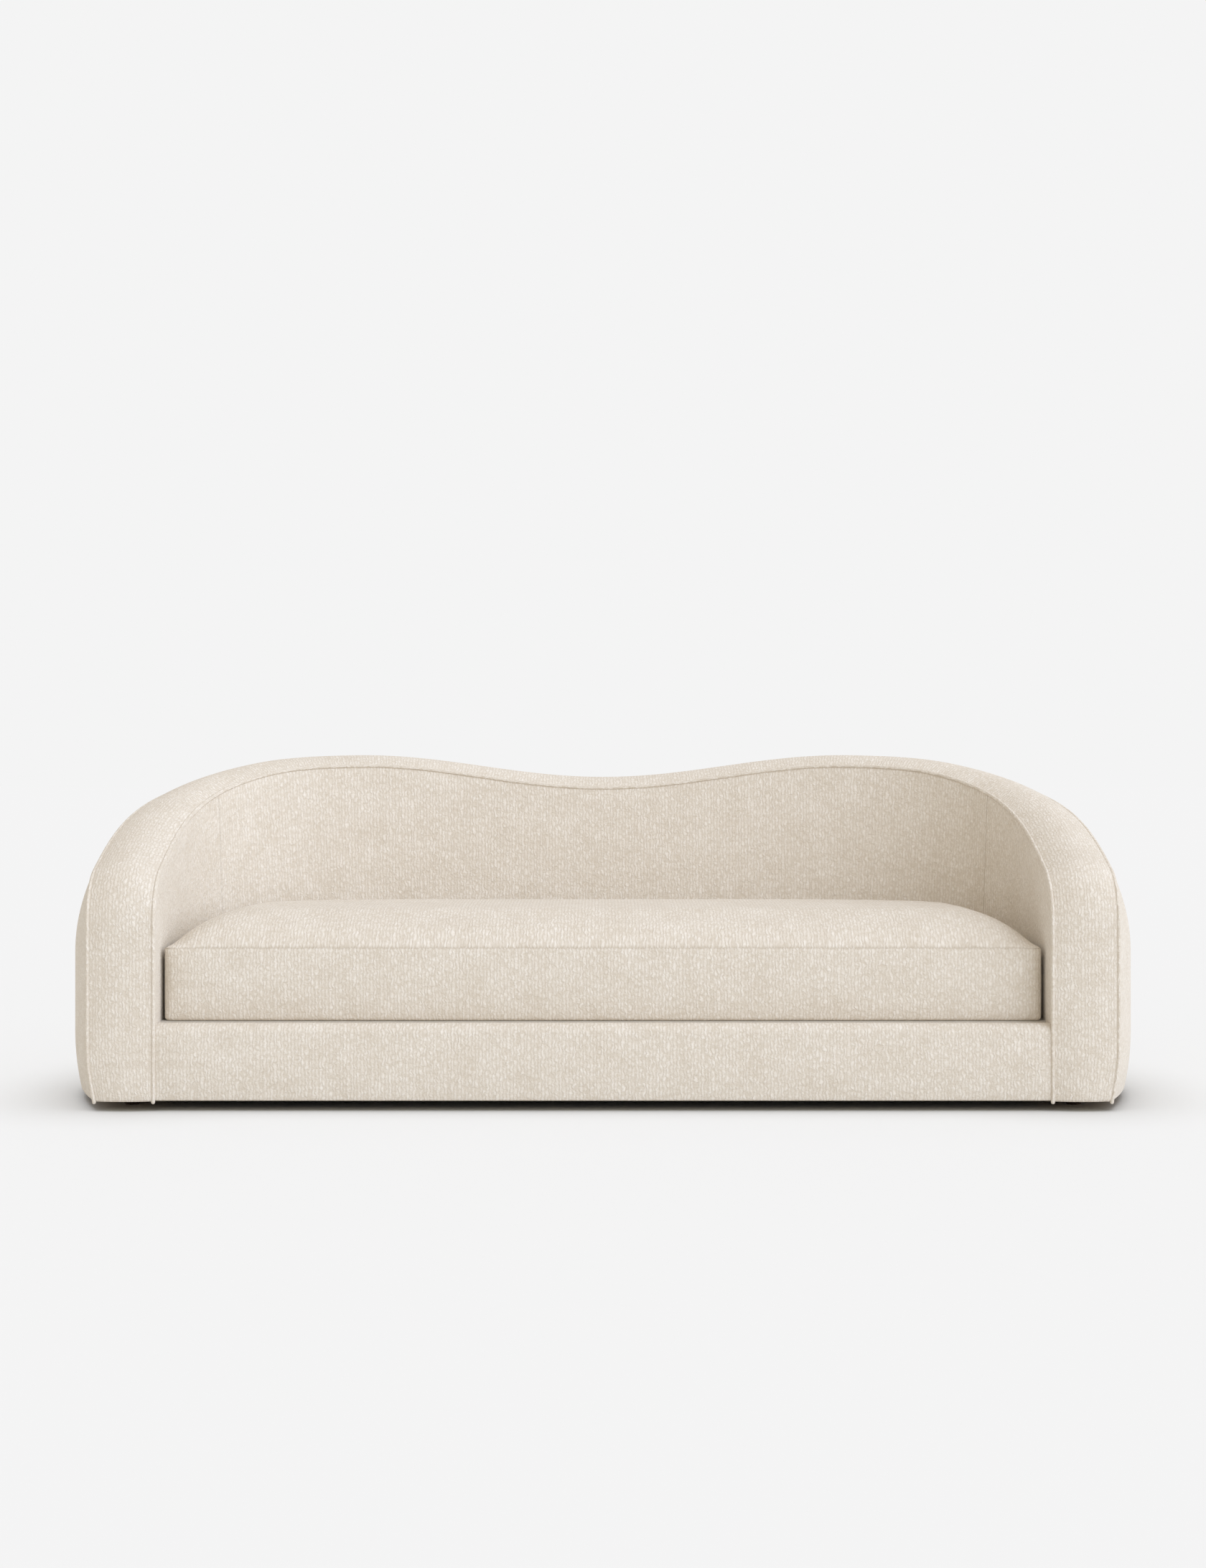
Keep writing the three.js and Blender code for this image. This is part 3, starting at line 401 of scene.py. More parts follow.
def wall_columns(join_run):
    """Run, top and tilt of each column of one side of the wall, and which columns carry its two joins."""
    run, top, tilt = edge_frames(CLOTH_STEP)
    keep = (top >= FACE_TOP) | ((run > 0) & (run < SEAM_LENGTH))
    joins = np.array([join_run, SEAM_LENGTH - join_run])
    near = np.abs(run[:, None] - joins).min(axis=1) < CLOTH_STEP / 2
    run, top, tilt = (values[keep & ~near] for values in (run, top, tilt))
    extra = (joins[:, None] + WALL_JOIN_STEPS).ravel()
    order = np.argsort(np.concatenate([run, extra]), kind="stable")
    run = np.concatenate([run, extra])[order]
    top = np.concatenate([top, seam_height(extra)])[order]
    tilt = np.concatenate([tilt, seam_slope(extra)])[order]
    return run, top, tilt, np.isin(run, joins).astype(float)


def puff(distance, height):
    return height * (1 - np.exp(-distance / PUFF_REACH))


def make_inside():
    run, top, tilt, joins = wall_columns(INSIDE_JOIN_RUN)
    parts = np.concatenate([np.linspace(0, ROWS_END, INSIDE_ROWS), EDGE_ROWS])
    r, t = np.repeat(run[:, None], len(parts), 1), np.repeat(top[:, None], len(parts), 1)
    height = lerp(INSIDE_BASE, t, parts[None, :])
    distance = edge_distance(r, height, t, tilt[:, None])
    above_cushion = np.clip((height - CUSHION_LOW) / (CUSHION_SEAM - CUSHION_LOW), 0, 1) ** 3
    free = lerp(1, above_cushion, station(r)[3] ** 2)
    offset = inside_offset(r, height) - puff(distance, INSIDE_PUFF) * free + JOIN_GROOVE * joins[:, None]
    places = on_wall(r, offset, height)
    # The joins are marked for painted shade, darker as if shaded in their grooves.
    return shaped_grid("inside_upholstery", places, weave_over(places), seam_shade=joins)


def make_outside():
    run, top, tilt, joins = wall_columns(OUTSIDE_JOIN_RUN)
    parts = np.concatenate([np.linspace(0, ROWS_END, OUTSIDE_ROWS), EDGE_ROWS])
    r = np.repeat(run[:, None], len(parts), 1)
    t = np.repeat(top[:, None], len(parts), 1)
    height = lerp(HEM_HEIGHT + HEM_RADIUS, t, parts[None, :])
    distance = edge_distance(r, height, t, tilt[:, None])
    offset = outside_offset(r, height) + puff(distance, OUTSIDE_PUFF) - JOIN_GROOVE * joins[:, None]
    inward, under_height = np.array(hem_section()).T
    height = np.concatenate([np.repeat(under_height[None, :], len(run), 0), height], axis=1)
    offset = np.concatenate([offset[:, :1] - inward[None, :], offset], axis=1)
    r = np.concatenate([r[:, :len(inward)], r], axis=1)
    places = on_wall(r, offset, height)
    # The joins are marked for painted shade, darker as if shaded in their grooves.
    return shaped_grid("outside_upholstery", places, weave_over(places), seam_shade=joins, inside_out=True)


def join_shear(run):
    """Slants the band's cross joins, which run a little further back at their outer ends."""
    left = np.exp(-((run - BAND_JOIN_RUN) / BAND_JOIN_REACH) ** 2)
    right = np.exp(-((SEAM_LENGTH - run - BAND_JOIN_RUN) / BAND_JOIN_REACH) ** 2)
    return BAND_JOIN_SLANT * (left - right)


def make_band():
    run, top, tilt = edge_frames(CLOTH_STEP)
    join = np.argmin(np.abs(run - BAND_JOIN_RUN))
    other = np.argmin(np.abs(run - (SEAM_LENGTH - BAND_JOIN_RUN)))
    r, t, k = (np.repeat(values[:, None], len(BAND_PARTS), 1) for values in (run, top, tilt))
    past_corners = (r > ARC_END_RUN) & (r < SEAM_LENGTH - ARC_END_RUN)
    sheared = r + join_shear(r) * BAND_PARTS * past_corners
    moved = sheared != r
    t = np.where(moved, seam_height(sheared), t)
    k = np.where(moved, seam_slope(sheared), k)
    across = band_span(t) * BAND_PARTS
    joined = np.isin(np.arange(len(run)), [join, other])
    groove = JOIN_GROOVE * joined[:, None] * np.sqrt(np.sin(math.pi * BAND_PARTS))
    places = with_band_hems(on_band(sheared, t, k, across, band_crown(t, k, across) - groove))
    hems = len(HEM_TURNS) + 1
    turned = np.zeros(len(places), bool)
    turned[join + hems:other + hems] = True
    return shaped_grid("band_upholstery", places, weave_over(places, False), turned, inside_out=True)


def with_band_hems(places):
    """Adds the rounded hems at the feet of the two front faces."""
    left, right = [], []
    for inward, height in hem_section():
        for end, line in ((left, places[0]), (right, places[-1])):
            turned = line.copy()
            turned[:, 1] += inward
            turned[:, 2] = height
            end.append(turned)
    return np.concatenate([np.array(left), places, np.array(right[::-1])])


def make_welt(name, side):
    """A round covered cord along one edge of the band. Its ends stick out under the hem as small nubs."""
    run, top, tilt = edge_frames(WELT_STEP)
    low = HEM_HEIGHT - NUB_LENGTH + NUB_STEPS
    low = low[low < HEM_HEIGHT + HEM_RADIUS - SLOPE_STEP]
    upright = math.pi / 2 + 0 * low
    run = np.concatenate([0 * low, run, SEAM_LENGTH + 0 * low])
    top = np.concatenate([low, top, low[::-1]])
    tilt = np.concatenate([upright, tilt, -upright])
    from_end = np.minimum(top - low[0], WELT_RADIUS)
    rounded = np.sqrt(np.maximum(0, 1 - (1 - from_end / WELT_RADIUS) ** 2))
    on_front_face = (run == 0) | (run == SEAM_LENGTH)
    radius = WELT_RADIUS * np.where(on_front_face, rounded, 1)
    angle = np.linspace(0, 2 * math.pi, WELT_SIDES + 1)
    r, t, k = (np.repeat(values[:, None], WELT_SIDES + 1, 1) for values in (run, top, tilt))
    across = side * band_span(t) + np.cos(angle) * radius[:, None]
    places = on_band(r, t, k, across, np.sin(angle) * radius[:, None])
    piece = shaped_grid(name, places, weave_over(places, False))
    close_grid(piece)
    return piece


def close_grid(piece):
    """Joins the edges of a rolled grid and points its faces outwards."""
    select_only(piece)
    bpy.ops.object.mode_set(mode="EDIT")
    bpy.ops.mesh.select_all(action="SELECT")
    bpy.ops.mesh.remove_doubles(threshold=MERGE_DISTANCE)
    bpy.ops.mesh.normals_make_consistent(inside=False)
    bpy.ops.object.mode_set(mode="OBJECT")


def rail_section():
    """The front rail's cloth from its hem up the face, round the top edge and back along the ledge."""
    bottom, shoulder = HEM_HEIGHT + HEM_RADIUS, DECK_HEIGHT - RAIL_ROUND
    section = hem_section()
    section += [(0, height) for height in np.linspace(bottom, shoulder, RAIL_FACE_ROWS)]
    for turn in np.linspace(0, math.pi / 2, RAIL_ROUND_ROWS)[1:]:
        section.append((RAIL_ROUND * (1 - math.cos(turn)), shoulder + RAIL_ROUND * math.sin(turn)))
    for part in np.linspace(0, 1, RAIL_LEDGE_ROWS)[1:]:
        section.append((lerp(RAIL_ROUND, LEDGE_DEPTH, part), DECK_HEIGHT - LEDGE_DIP * part ** 2))
    return np.array(section), bottom, shoulder


def make_front_rail():
    """The low front rail's cloth, slightly full across its face."""
    section, bottom, shoulder = rail_section()
    half = SEAM_HALF_WIDTH - RAIL_CLEARANCE
    columns = soft_spread(2 * half, RAIL_END_STEPS, RAIL_STEP) * 2 * half - half
    x = np.repeat(columns[:, None], len(section), 1)
    depth = np.repeat(section[None, :, 0], len(columns), 0)
    height = np.repeat(section[None, :, 1], len(columns), 0)
    up = np.clip((height - bottom) / (shoulder - bottom), 0, 1)
    on_face = depth < RAIL_ROUND / 2
    crown = RAIL_CROWN * np.sin(math.pi * up) * puff(half - np.abs(x), 1) * on_face
    places = np.stack([x, FRONT_Y + depth - crown, height], axis=-1)
    return shaped_grid("front_rail_upholstery", places, weave_over(places))


# ---- The bench cushion ----

def cushion_back(height):
    """How deep the cushion is at the flat middle of its back."""
    return SEAM_DEPTH + inside_offset(SEAM_LENGTH / 2, height) - CUSHION_GAP - FLAT_CUT


OUTLINE_RUNS = np.linspace(ARM_CORNER_RADIUS, SEAM_LENGTH - ARM_CORNER_RADIUS, OUTLINE_POINTS)


def cushion_outline(height, inset=0.0):
    """The cushion's edge along the wall from right to left, and its left and right front corners."""
    run = OUTLINE_RUNS[::-1]
    offset = inside_offset(run, height + 0 * run) - CUSHION_GAP - inset
    wall = on_wall(run, offset, height)[:, :2] - [0, FRONT_Y]
    wall[:, 1] = np.minimum(wall[:, 1], cushion_back(height) - inset)
    turn = np.linspace(0, math.pi / 2, CORNER_POINTS)
    radius = CUSHION_CORNER - inset
    centre = SEAM_HALF_WIDTH - CUSHION_GAP - CUSHION_CORNER
    depth = CUSHION_SETBACK + CUSHION_CORNER - radius * np.sin(turn)
    left = np.stack([-centre - radius * np.cos(turn), depth], axis=-1)
    right = np.stack([centre + radius * np.cos(turn), depth], axis=-1)[::-1]
    return wall, left, right


def spaced(line, parts):
    """Places at the given shares of a line's length."""
    run = np.concatenate([[0], np.cumsum(np.linalg.norm(np.diff(line, axis=0), axis=1))])
    return np.stack([np.interp(parts * run[-1], run, line[:, k]) for k in range(line.shape[1])], axis=-1)


def cushion_sides(height, inset, wide_parts, deep_parts):
    """Front, right, back and left sides of the outline. The corners lie in the middle of each round."""
    wall, left, right = cushion_outline(height, inset)
    half = len(left) // 2
    corner = np.argmin(np.abs(np.abs(station(OUTLINE_RUNS)[2]) - math.sqrt(0.5)))
    corner = min(corner, OUTLINE_POINTS - 1 - corner)
    front = np.concatenate([left[half:], right[:len(right) - half]])
    right_side = np.concatenate([right[len(right) - half - 1:], wall[:corner + 1]])
    back = wall[corner:len(wall) - corner][::-1]
    left_side = np.concatenate([wall[len(wall) - corner - 1:], left[:half + 1]])[::-1]
    return (spaced(front, wide_parts), spaced(right_side, deep_parts),
            spaced(back, wide_parts), spaced(left_side, deep_parts))


def panel_grid(sides, wide_parts, deep_parts):
    """A grid of plan places stretched between the four sides of the outline."""
    front, right, back, left = sides
    u, v = wide_parts[:, None, None], deep_parts[None, :, None]
    between = (1 - v) * front[:, None] + v * back[:, None] + (1 - u) * left[None] + u * right[None]
    at_front = (1 - u) * (1 - v) * front[0] + u * (1 - v) * front[-1]
    return between - (at_front + (1 - u) * v * back[0] + u * v * back[-1])


def wall_distance(plan):
    """How far each plan place lies from the cushion's edge along the wall."""
    wall, left, right = cushion_outline(CUSHION_SEAM)
    line = np.concatenate([[[right[-1, 0], CUSHION_SETBACK]], wall, [[left[0, 0], CUSHION_SETBACK]]])
    line = spaced(line, np.linspace(0, 1, WALL_POINTS))
    tree = KDTree(len(line))
    for index, (x, depth) in enumerate(line):
        tree.insert((x, depth, 0), index)
    tree.balance()
    flat = [tree.find((x, depth, 0))[2] for x, depth in plan.reshape(-1, 2)]
    return np.array(flat).reshape(plan.shape[:-1])


def dome_lift(plan, crown):
    """The stuffed top rises quickly from its seams and runs nearly level across the middle."""
    from_wall, from_front = wall_distance(plan), np.maximum(plan[..., 1] - CUSHION_SETBACK, 0)
    filled_from_wall = 1 - np.exp(-(from_wall / WALL_REACH) ** WALL_POWER)
    return crown * filled_from_wall * (1 - np.exp(-from_front / FRONT_REACH))


def cushion_rows():
    """Height and inset of each row of the boxing: round the bottom edge, then up to the seam."""
    rows = []
    for turn in BOTTOM_TURNS:
        height = CUSHION_LOW + BOTTOM_ROUND * (1 - math.sin(turn))
        rows.append((height, BOTTOM_ROUND * (1 - math.cos(turn))))
    tall = CUSHION_SEAM - CUSHION_LOW - BOTTOM_ROUND
    for part in soft_spread(tall, SEAM_STEPS, CUSHION_STEP)[1:]:
        rows.append((CUSHION_LOW + BOTTOM_ROUND + tall * part, 0.0))
    return rows


def make_cushion():
    """The cushion's top, underside and boxing before the stuffing, joined along their seams."""
    wide_parts = soft_spread(2 * SEAM_HALF_WIDTH, SEAM_STEPS, CUSHION_STEP)
    deep_parts = soft_spread(SEAM_DEPTH - CUSHION_SETBACK - BACK_LEAN, SEAM_STEPS, CUSHION_STEP)

    def flat_panel(height, inset):
        return panel_grid(cushion_sides(height, inset, wide_parts, deep_parts), wide_parts, deep_parts)

    top_plan = flat_panel(CUSHION_SEAM, 0)
    top_height = CUSHION_SEAM + dome_lift(top_plan, STUFFED_CROWN - START_DROP)
    top = shaped_grid("cushion_top", in_sofa(top_plan, top_height), top_plan)
    bottom_plan = flat_panel(CUSHION_LOW, BOTTOM_ROUND)
    bottom_places = in_sofa(bottom_plan, CUSHION_LOW + 0 * bottom_plan[..., 0])
    bottom = shaped_grid("cushion_bottom", bottom_places, bottom_plan, inside_out=True)
    rings = []
    for height, inset in cushion_rows():
        front, right, back, left = cushion_sides(height, inset, wide_parts, deep_parts)
        ring = np.concatenate([front, right[1:], back[::-1][1:], left[::-1][1:]])
        rings.append(in_sofa(ring, height + 0 * ring[:, 0]))
    boxing_places = np.stack(rings, axis=1)
    boxing = shaped_grid("cushion_sides", boxing_places, weave_over(boxing_places))
    return sew_together([top, bottom, boxing], "bench_cushion")


def sew_together(panels, name):
    """Joins panels that meet edge to edge into one piece."""
    for panel in panels:
        panel.select_set(True)
    bpy.context.view_layer.objects.active = panels[0]
    bpy.ops.object.join()
    piece = active_piece(name)
    close_grid(piece)
    return piece


def in_sofa(plan, height):
    return np.stack([plan[..., 0], plan[..., 1] + FRONT_Y, height], axis=-1)


def cushion_regions(places):
    """Masks of the cushion's seam rows, its flat underside and its zipped back."""
    height, depth = places[:, 2], places[:, 1] - FRONT_Y
    seam = np.abs(height - CUSHION_SEAM) < SEAM_TOLERANCE
    under = height < CUSHION_LOW + BOTTOM_ROUND * HELD_UNDERSIDE
    at_zip = (np.abs(places[:, 0]) < ZIPPED_HALF) & (depth > cushion_back(height) - ZIPPED_DEPTH)
    return seam, under, at_zip & (height < CUSHION_SEAM)


def inflate(piece, held):
    """Runs a cloth simulation under pressure, with the held points fixed, and returns the new places."""
    pins = piece.vertex_groups.new(name="held")
    pins.add(np.nonzero(held)[0].tolist(), 1.0, "REPLACE")
    select_only(piece)
    cloth = piece.modifiers.new("stuffing", "CLOTH")
    settings = cloth.settings
    settings.quality = STUFFING_QUALITY
    settings.vertex_group_mass = pins.name
    settings.use_pressure = True
    settings.uniform_pressure_force = STUFFING_PRESSURE
    settings.effector_weights.gravity = 0
    cloth.point_cache.frame_start, cloth.point_cache.frame_end = 1, STUFFING_STEPS
    for step in range(1, STUFFING_STEPS + 1):
        bpy.context.scene.frame_set(step)
    bpy.ops.object.modifier_apply(modifier=cloth.name)
    bpy.context.scene.frame_set(1)
    piece.vertex_groups.clear()
    return get_places(piece.data)


def stuff_cushion(piece):
    """Swells the cushion's panels between its seams, no further than firm stuffing would."""
    start = get_places(piece.data)
    seam, under, zipped = cushion_regions(start)
    risen = np.clip((start[:, 2] - CUSHION_SEAM) / (STUFFED_CROWN - START_DROP), 0, 1)
    moved = inflate(piece, seam | under | zipped) - start
    size = np.maximum(np.linalg.norm(moved, axis=1), 1e-9)
    cap = np.where(risen > 0, SWELL_CAP * risen, BOXING_BULGE)
    moved *= np.minimum(1, cap / size)[:, None]
    set_places(piece.data, start + moved)
    sink_seams(piece, seam)
    # The seam rows are marked for painted shade, darker as if shaded in the seam grooves.
    mark_seam_shade(piece, seam)
    select_only(piece)
    finer = piece.modifiers.new("finer", "SUBSURF")
    finer.levels = finer.render_levels = 1
    bpy.ops.object.modifier_apply(modifier=finer.name)
    bpy.ops.object.shade_smooth()


def sink_seams(piece, seam):
    """Draws the stitched seam in between the swollen panels."""
    mesh = piece.data
    normals = np.empty(len(mesh.vertices) * 3, np.float32)
    mesh.vertices.foreach_get("normal", normals)
    places = get_places(mesh)
    places[seam] -= normals.reshape(-1, 3)[seam] * SEAM_SINK
    set_places(mesh, places)


# ---- Materials ----

# The yarn's colour runs from valley to ridge by its height: the valleys between the loops are painted
# darker, as shade.
VALLEY_SHADE_COLOUR = (0.61, 0.535, 0.43)
YARN_RIDGE = (0.84, 0.785, 0.70)
PATCH_TINT = (0.955, 0.945, 0.93)
# Painted shade: how much darker the cloth is painted along seams and joins, for the shade in their
# grooves.
SEAM_SHADE_TINT = (0.84, 0.82, 0.79)
RIB_PITCH = 0.0076
RIB_NUB = 0.0095
RIB_WANDER = 0.0105
RIB_SHUFFLE = 3.7
DRIFT_SCALE = 75.0
CURL_SCALE = 260
FIBRE_SCALE = 700.0
PATCH_SCALE = 14.0
NUB_CONTRAST = 2.4
CURL_CONTRAST = 1.4
YARN_CONTRAST = 1.1
MEAN_YARN_HEIGHT = 0.47
WALNUT_DARK = (0.020, 0.011, 0.007)
WALNUT_LIGHT = (0.075, 0.040, 0.024)
BOUCLE_RELIEF = 0.68
BOUCLE_DEPTH = 0.0022


def link(tree, source, socket):
    tree.links.new(source, socket)


def feed(tree, socket, value):
    """Sets a socket to a plain value, or links another node's output to it."""
    if isinstance(value, bpy.types.NodeSocket):
        tree.links.new(value, socket)
    else:
        socket.default_value = value


def node(tree, kind, **settings):
    made = tree.nodes.new(kind)
    for key, value in settings.items():
        setattr(made, key, value)
    return made


def calc(tree, operation, a, b=0.0, c=0.0, clamp=False):
    made = node(tree, "ShaderNodeMath", operation=operation, use_clamp=clamp)
    for socket, value in zip(made.inputs, (a, b, c)):
        feed(tree, socket, value)
    return made.outputs[0]


def vector_calc(tree, operation, a, b):
    made = node(tree, "ShaderNodeVectorMath", operation=operation)
    feed(tree, made.inputs[0], a)
    feed(tree, made.inputs[1], b)
    return made.outputs[0]


def noise(tree, coordinates, scale, detail=2.0, dimensions="3D"):
    made = node(tree, "ShaderNodeTexNoise", noise_dimensions=dimensions)
    feed(tree, made.inputs["Vector"], coordinates)
    feed(tree, made.inputs["Scale"], scale)
    feed(tree, made.inputs["Detail"], detail)
    return made


def ramp(tree, factor, stops):
    made = node(tree, "ShaderNodeValToRGB")
    feed(tree, made.inputs["Fac"], factor)
    elements = made.color_ramp.elements
    while len(elements) < len(stops):
        elements.new(0.5)
    for element, (place, colour) in zip(elements, stops):
        element.position = place
        element.color = (*colour, 1)
    return made.outputs["Color"]


def mix_colour(tree, factor, a, b, blend="MIX"):
    made = node(tree, "ShaderNodeMix", data_type="RGBA", blend_type=blend)
    feed(tree, made.inputs["Factor"], factor)
    feed(tree, made.inputs["A"], a)
    feed(tree, made.inputs["B"], b)
    return made.outputs["Result"]


def new_group(name, inputs, outputs):
    tree = bpy.data.node_groups.new(name, "ShaderNodeTree")
    for label, kind, value in inputs:
        socket = tree.interface.new_socket(label, in_out="INPUT", socket_type=kind)
        if value is not None:
            socket.default_value = value
    for label, kind in outputs:
        tree.interface.new_socket(label, in_out="OUTPUT", socket_type=kind)
    return tree, node(tree, "NodeGroupInput").outputs, node(tree, "NodeGroupOutput").inputs


def boucle_group():
    """Wandering ribs of looped yarn, each broken into nubs, with small curls and fibres."""
    tree, given, gives = new_group(
        "boucle_ribs",
        [("Weave", "NodeSocketVector", None), ("Rib Pitch", "NodeSocketFloat", RIB_PITCH),
         ("Nub Length", "NodeSocketFloat", RIB_NUB), ("Wander", "NodeSocketFloat", RIB_WANDER)],
        [("Height", "NodeSocketFloat"), ("Relief Shade", "NodeSocketFloat"), ("Patch", "NodeSocketFloat")],
    )
    weave = given["Weave"]
    drift = noise(tree, weave, DRIFT_SCALE, 2.0, "2D").outputs["Color"]
    drift = vector_calc(tree, "SUBTRACT", drift, (0.5, 0.5, 0.5))
    scaled = node(tree, "ShaderNodeVectorMath", operation="SCALE")
    link(tree, drift, scaled.inputs[0])
    link(tree, given["Wander"], scaled.inputs["Scale"])
    moved = vector_calc(tree, "ADD", weave, scaled.outputs[0])
    split = node(tree, "ShaderNodeSeparateXYZ")
    link(tree, moved, split.inputs[0])
    rib = calc(tree, "DIVIDE", split.outputs[0], given["Rib Pitch"])
    along = calc(tree, "DIVIDE", split.outputs[1], given["Nub Length"])
    wave = calc(tree, "COSINE", calc(tree, "MULTIPLY", rib, 2 * math.pi))
    ridge = calc(tree, "MULTIPLY_ADD", wave, 0.5, 0.5)
    cell = node(tree, "ShaderNodeCombineXYZ")
    link(tree, calc(tree, "MULTIPLY", calc(tree, "ROUND", rib), RIB_SHUFFLE), cell.inputs[0])
    link(tree, along, cell.inputs[1])
    broken = noise(tree, cell.outputs[0], 1.0, 1.0, "2D").outputs["Fac"]
    nubs = calc(tree, "MULTIPLY_ADD", calc(tree, "SUBTRACT", broken, 0.5), NUB_CONTRAST, 0.5, clamp=True)
    loops = node(tree, "ShaderNodeTexVoronoi", voronoi_dimensions="2D", feature="SMOOTH_F1")
    link(tree, moved, loops.inputs["Vector"])
    loops.inputs["Scale"].default_value = CURL_SCALE
    loops.inputs["Smoothness"].default_value = 0.5
    hollow = calc(tree, "MULTIPLY", loops.outputs["Distance"], CURL_CONTRAST)
    curl = calc(tree, "SUBTRACT", 1, hollow, clamp=True)
    fibre = noise(tree, moved, FIBRE_SCALE, 2.0, "2D").outputs["Fac"]
    height = calc(tree, "MULTIPLY", ridge, calc(tree, "MULTIPLY_ADD", nubs, 0.40, 0.10))
    height = calc(tree, "MULTIPLY_ADD", nubs, 0.16, height)
    height = calc(tree, "MULTIPLY_ADD", curl, 0.24, height)
    height = calc(tree, "MULTIPLY_ADD", fibre, 0.20, height)
    link(tree, height, gives["Height"])
    # The tone follows the height, so the low valleys between the loops are painted darker as shade and the
    # raised loops lighter.
    above_mean = calc(tree, "SUBTRACT", height, MEAN_YARN_HEIGHT)
    yarn = calc(tree, "MULTIPLY_ADD", above_mean, YARN_CONTRAST, 0.5, clamp=True)
    link(tree, yarn, gives["Relief Shade"])
    patch = noise(tree, weave, PATCH_SCALE, 3.0, "2D").outputs["Fac"]
    link(tree, patch, gives["Patch"])
    return tree


def place_group(tree, group, **values):
    made = node(tree, "ShaderNodeGroup", node_tree=group)
    for label, value in values.items():
        feed(tree, made.inputs[label.replace("_", " ")], value)
    return made


def new_material(name):
    material = bpy.data.materials.new(name)
    material.use_nodes = True
    tree = material.node_tree
    return material, tree, tree.nodes["Principled BSDF"]


def bump(tree, shader, height, strength, distance):
    made = node(tree, "ShaderNodeBump")
    made.inputs["Strength"].default_value = strength
    made.inputs["Distance"].default_value = distance
    link(tree, height, made.inputs["Height"])
    link(tree, made.outputs["Normal"], shader.inputs["Normal"])


def boucle_material(name, group, valley, ridge):
    """Cream boucle with faint patches, valleys between the loops painted darker as shade, and painted
    shade along the seams and joins.
    """
    material, tree, shader = new_material(name)
    weave = node(tree, "ShaderNodeUVMap", uv_map="weave").outputs["UV"]
    ribs = place_group(tree, group, Weave=weave)
    # Painted shade: the valleys between the loops get the darker colour by their height.
    colour = ramp(tree, ribs.outputs["Relief Shade"], [(0.0, valley), (1.0, ridge)])
    patch = ramp(tree, ribs.outputs["Patch"], [(0.3, PATCH_TINT), (0.7, (1, 1, 1))])
    cloth = mix_colour(tree, 1.0, colour, patch, "MULTIPLY")
    # Painted shade along the seams and joins: the marked points are multiplied darker.
    seam_shade = node(tree, "ShaderNodeAttribute", attribute_name="seam_shade").outputs["Fac"]
    seam_shading = mix_colour(tree, seam_shade, (1, 1, 1, 1), (*SEAM_SHADE_TINT, 1))
    link(tree, mix_colour(tree, 1.0, cloth, seam_shading, "MULTIPLY"), shader.inputs["Base Color"])
    shader.inputs["Roughness"].default_value = 0.95
    shader.inputs["Specular IOR Level"].default_value = 0.15
    shader.inputs["Sheen Weight"].default_value = 0.25
    shader.inputs["Sheen Roughness"].default_value = 0.5
    shader.inputs["Sheen Tint"].default_value = (1.0, 0.96, 0.90, 1)
    bump(tree, shader, ribs.outputs["Height"], BOUCLE_RELIEF, BOUCLE_DEPTH)
    return material


def plain_cloth(name, dark, light, threads, relief):
    """A flat woven cloth, for the hidden linings, straps and tapes."""
    material, tree, shader = new_material(name)
    place = node(tree, "ShaderNodeTexCoord").outputs["Object"]
    warp = node(tree, "ShaderNodeTexWave", bands_direction="X")
    weft = node(tree, "ShaderNodeTexWave", bands_direction="Y")
    for wave in (warp, weft):
        link(tree, place, wave.inputs["Vector"])
        wave.inputs["Scale"].default_value = threads
        wave.inputs["Distortion"].default_value = 0.6
    woven = calc(tree, "MULTIPLY", warp.outputs["Fac"], weft.outputs["Fac"])
    worn = noise(tree, place, 25.0, 3.0).outputs["Fac"]
    tone = calc(tree, "MULTIPLY_ADD", woven, 0.5, calc(tree, "MULTIPLY", worn, 0.5))
    link(tree, ramp(tree, tone, [(0.2, dark), (0.8, light)]), shader.inputs["Base Color"])
    shader.inputs["Roughness"].default_value = 0.9
    bump(tree, shader, woven, 0.5, relief)
    return material


def grain_group():
    """Growth rings drawn out along X, with fine pores."""
    tree, given, gives = new_group(
        "wood_grain",
        [("Place", "NodeSocketVector", None), ("Ring Scale", "NodeSocketFloat", 30.0)],
        [("Grain", "NodeSocketFloat"), ("Pores", "NodeSocketFloat")],
    )
    drawn = vector_calc(tree, "MULTIPLY", given["Place"], (0.12, 1.0, 1.0))
    rings = noise(tree, drawn, given["Ring Scale"], 3.0).outputs["Fac"]
    bands = calc(tree, "FRACT", calc(tree, "MULTIPLY", rings, 7.0))
    link(tree, bands, gives["Grain"])
    thin = vector_calc(tree, "MULTIPLY", given["Place"], (0.08, 1.0, 1.0))
    link(tree, noise(tree, thin, 900.0, 2.0).outputs["Fac"], gives["Pores"])
    return tree


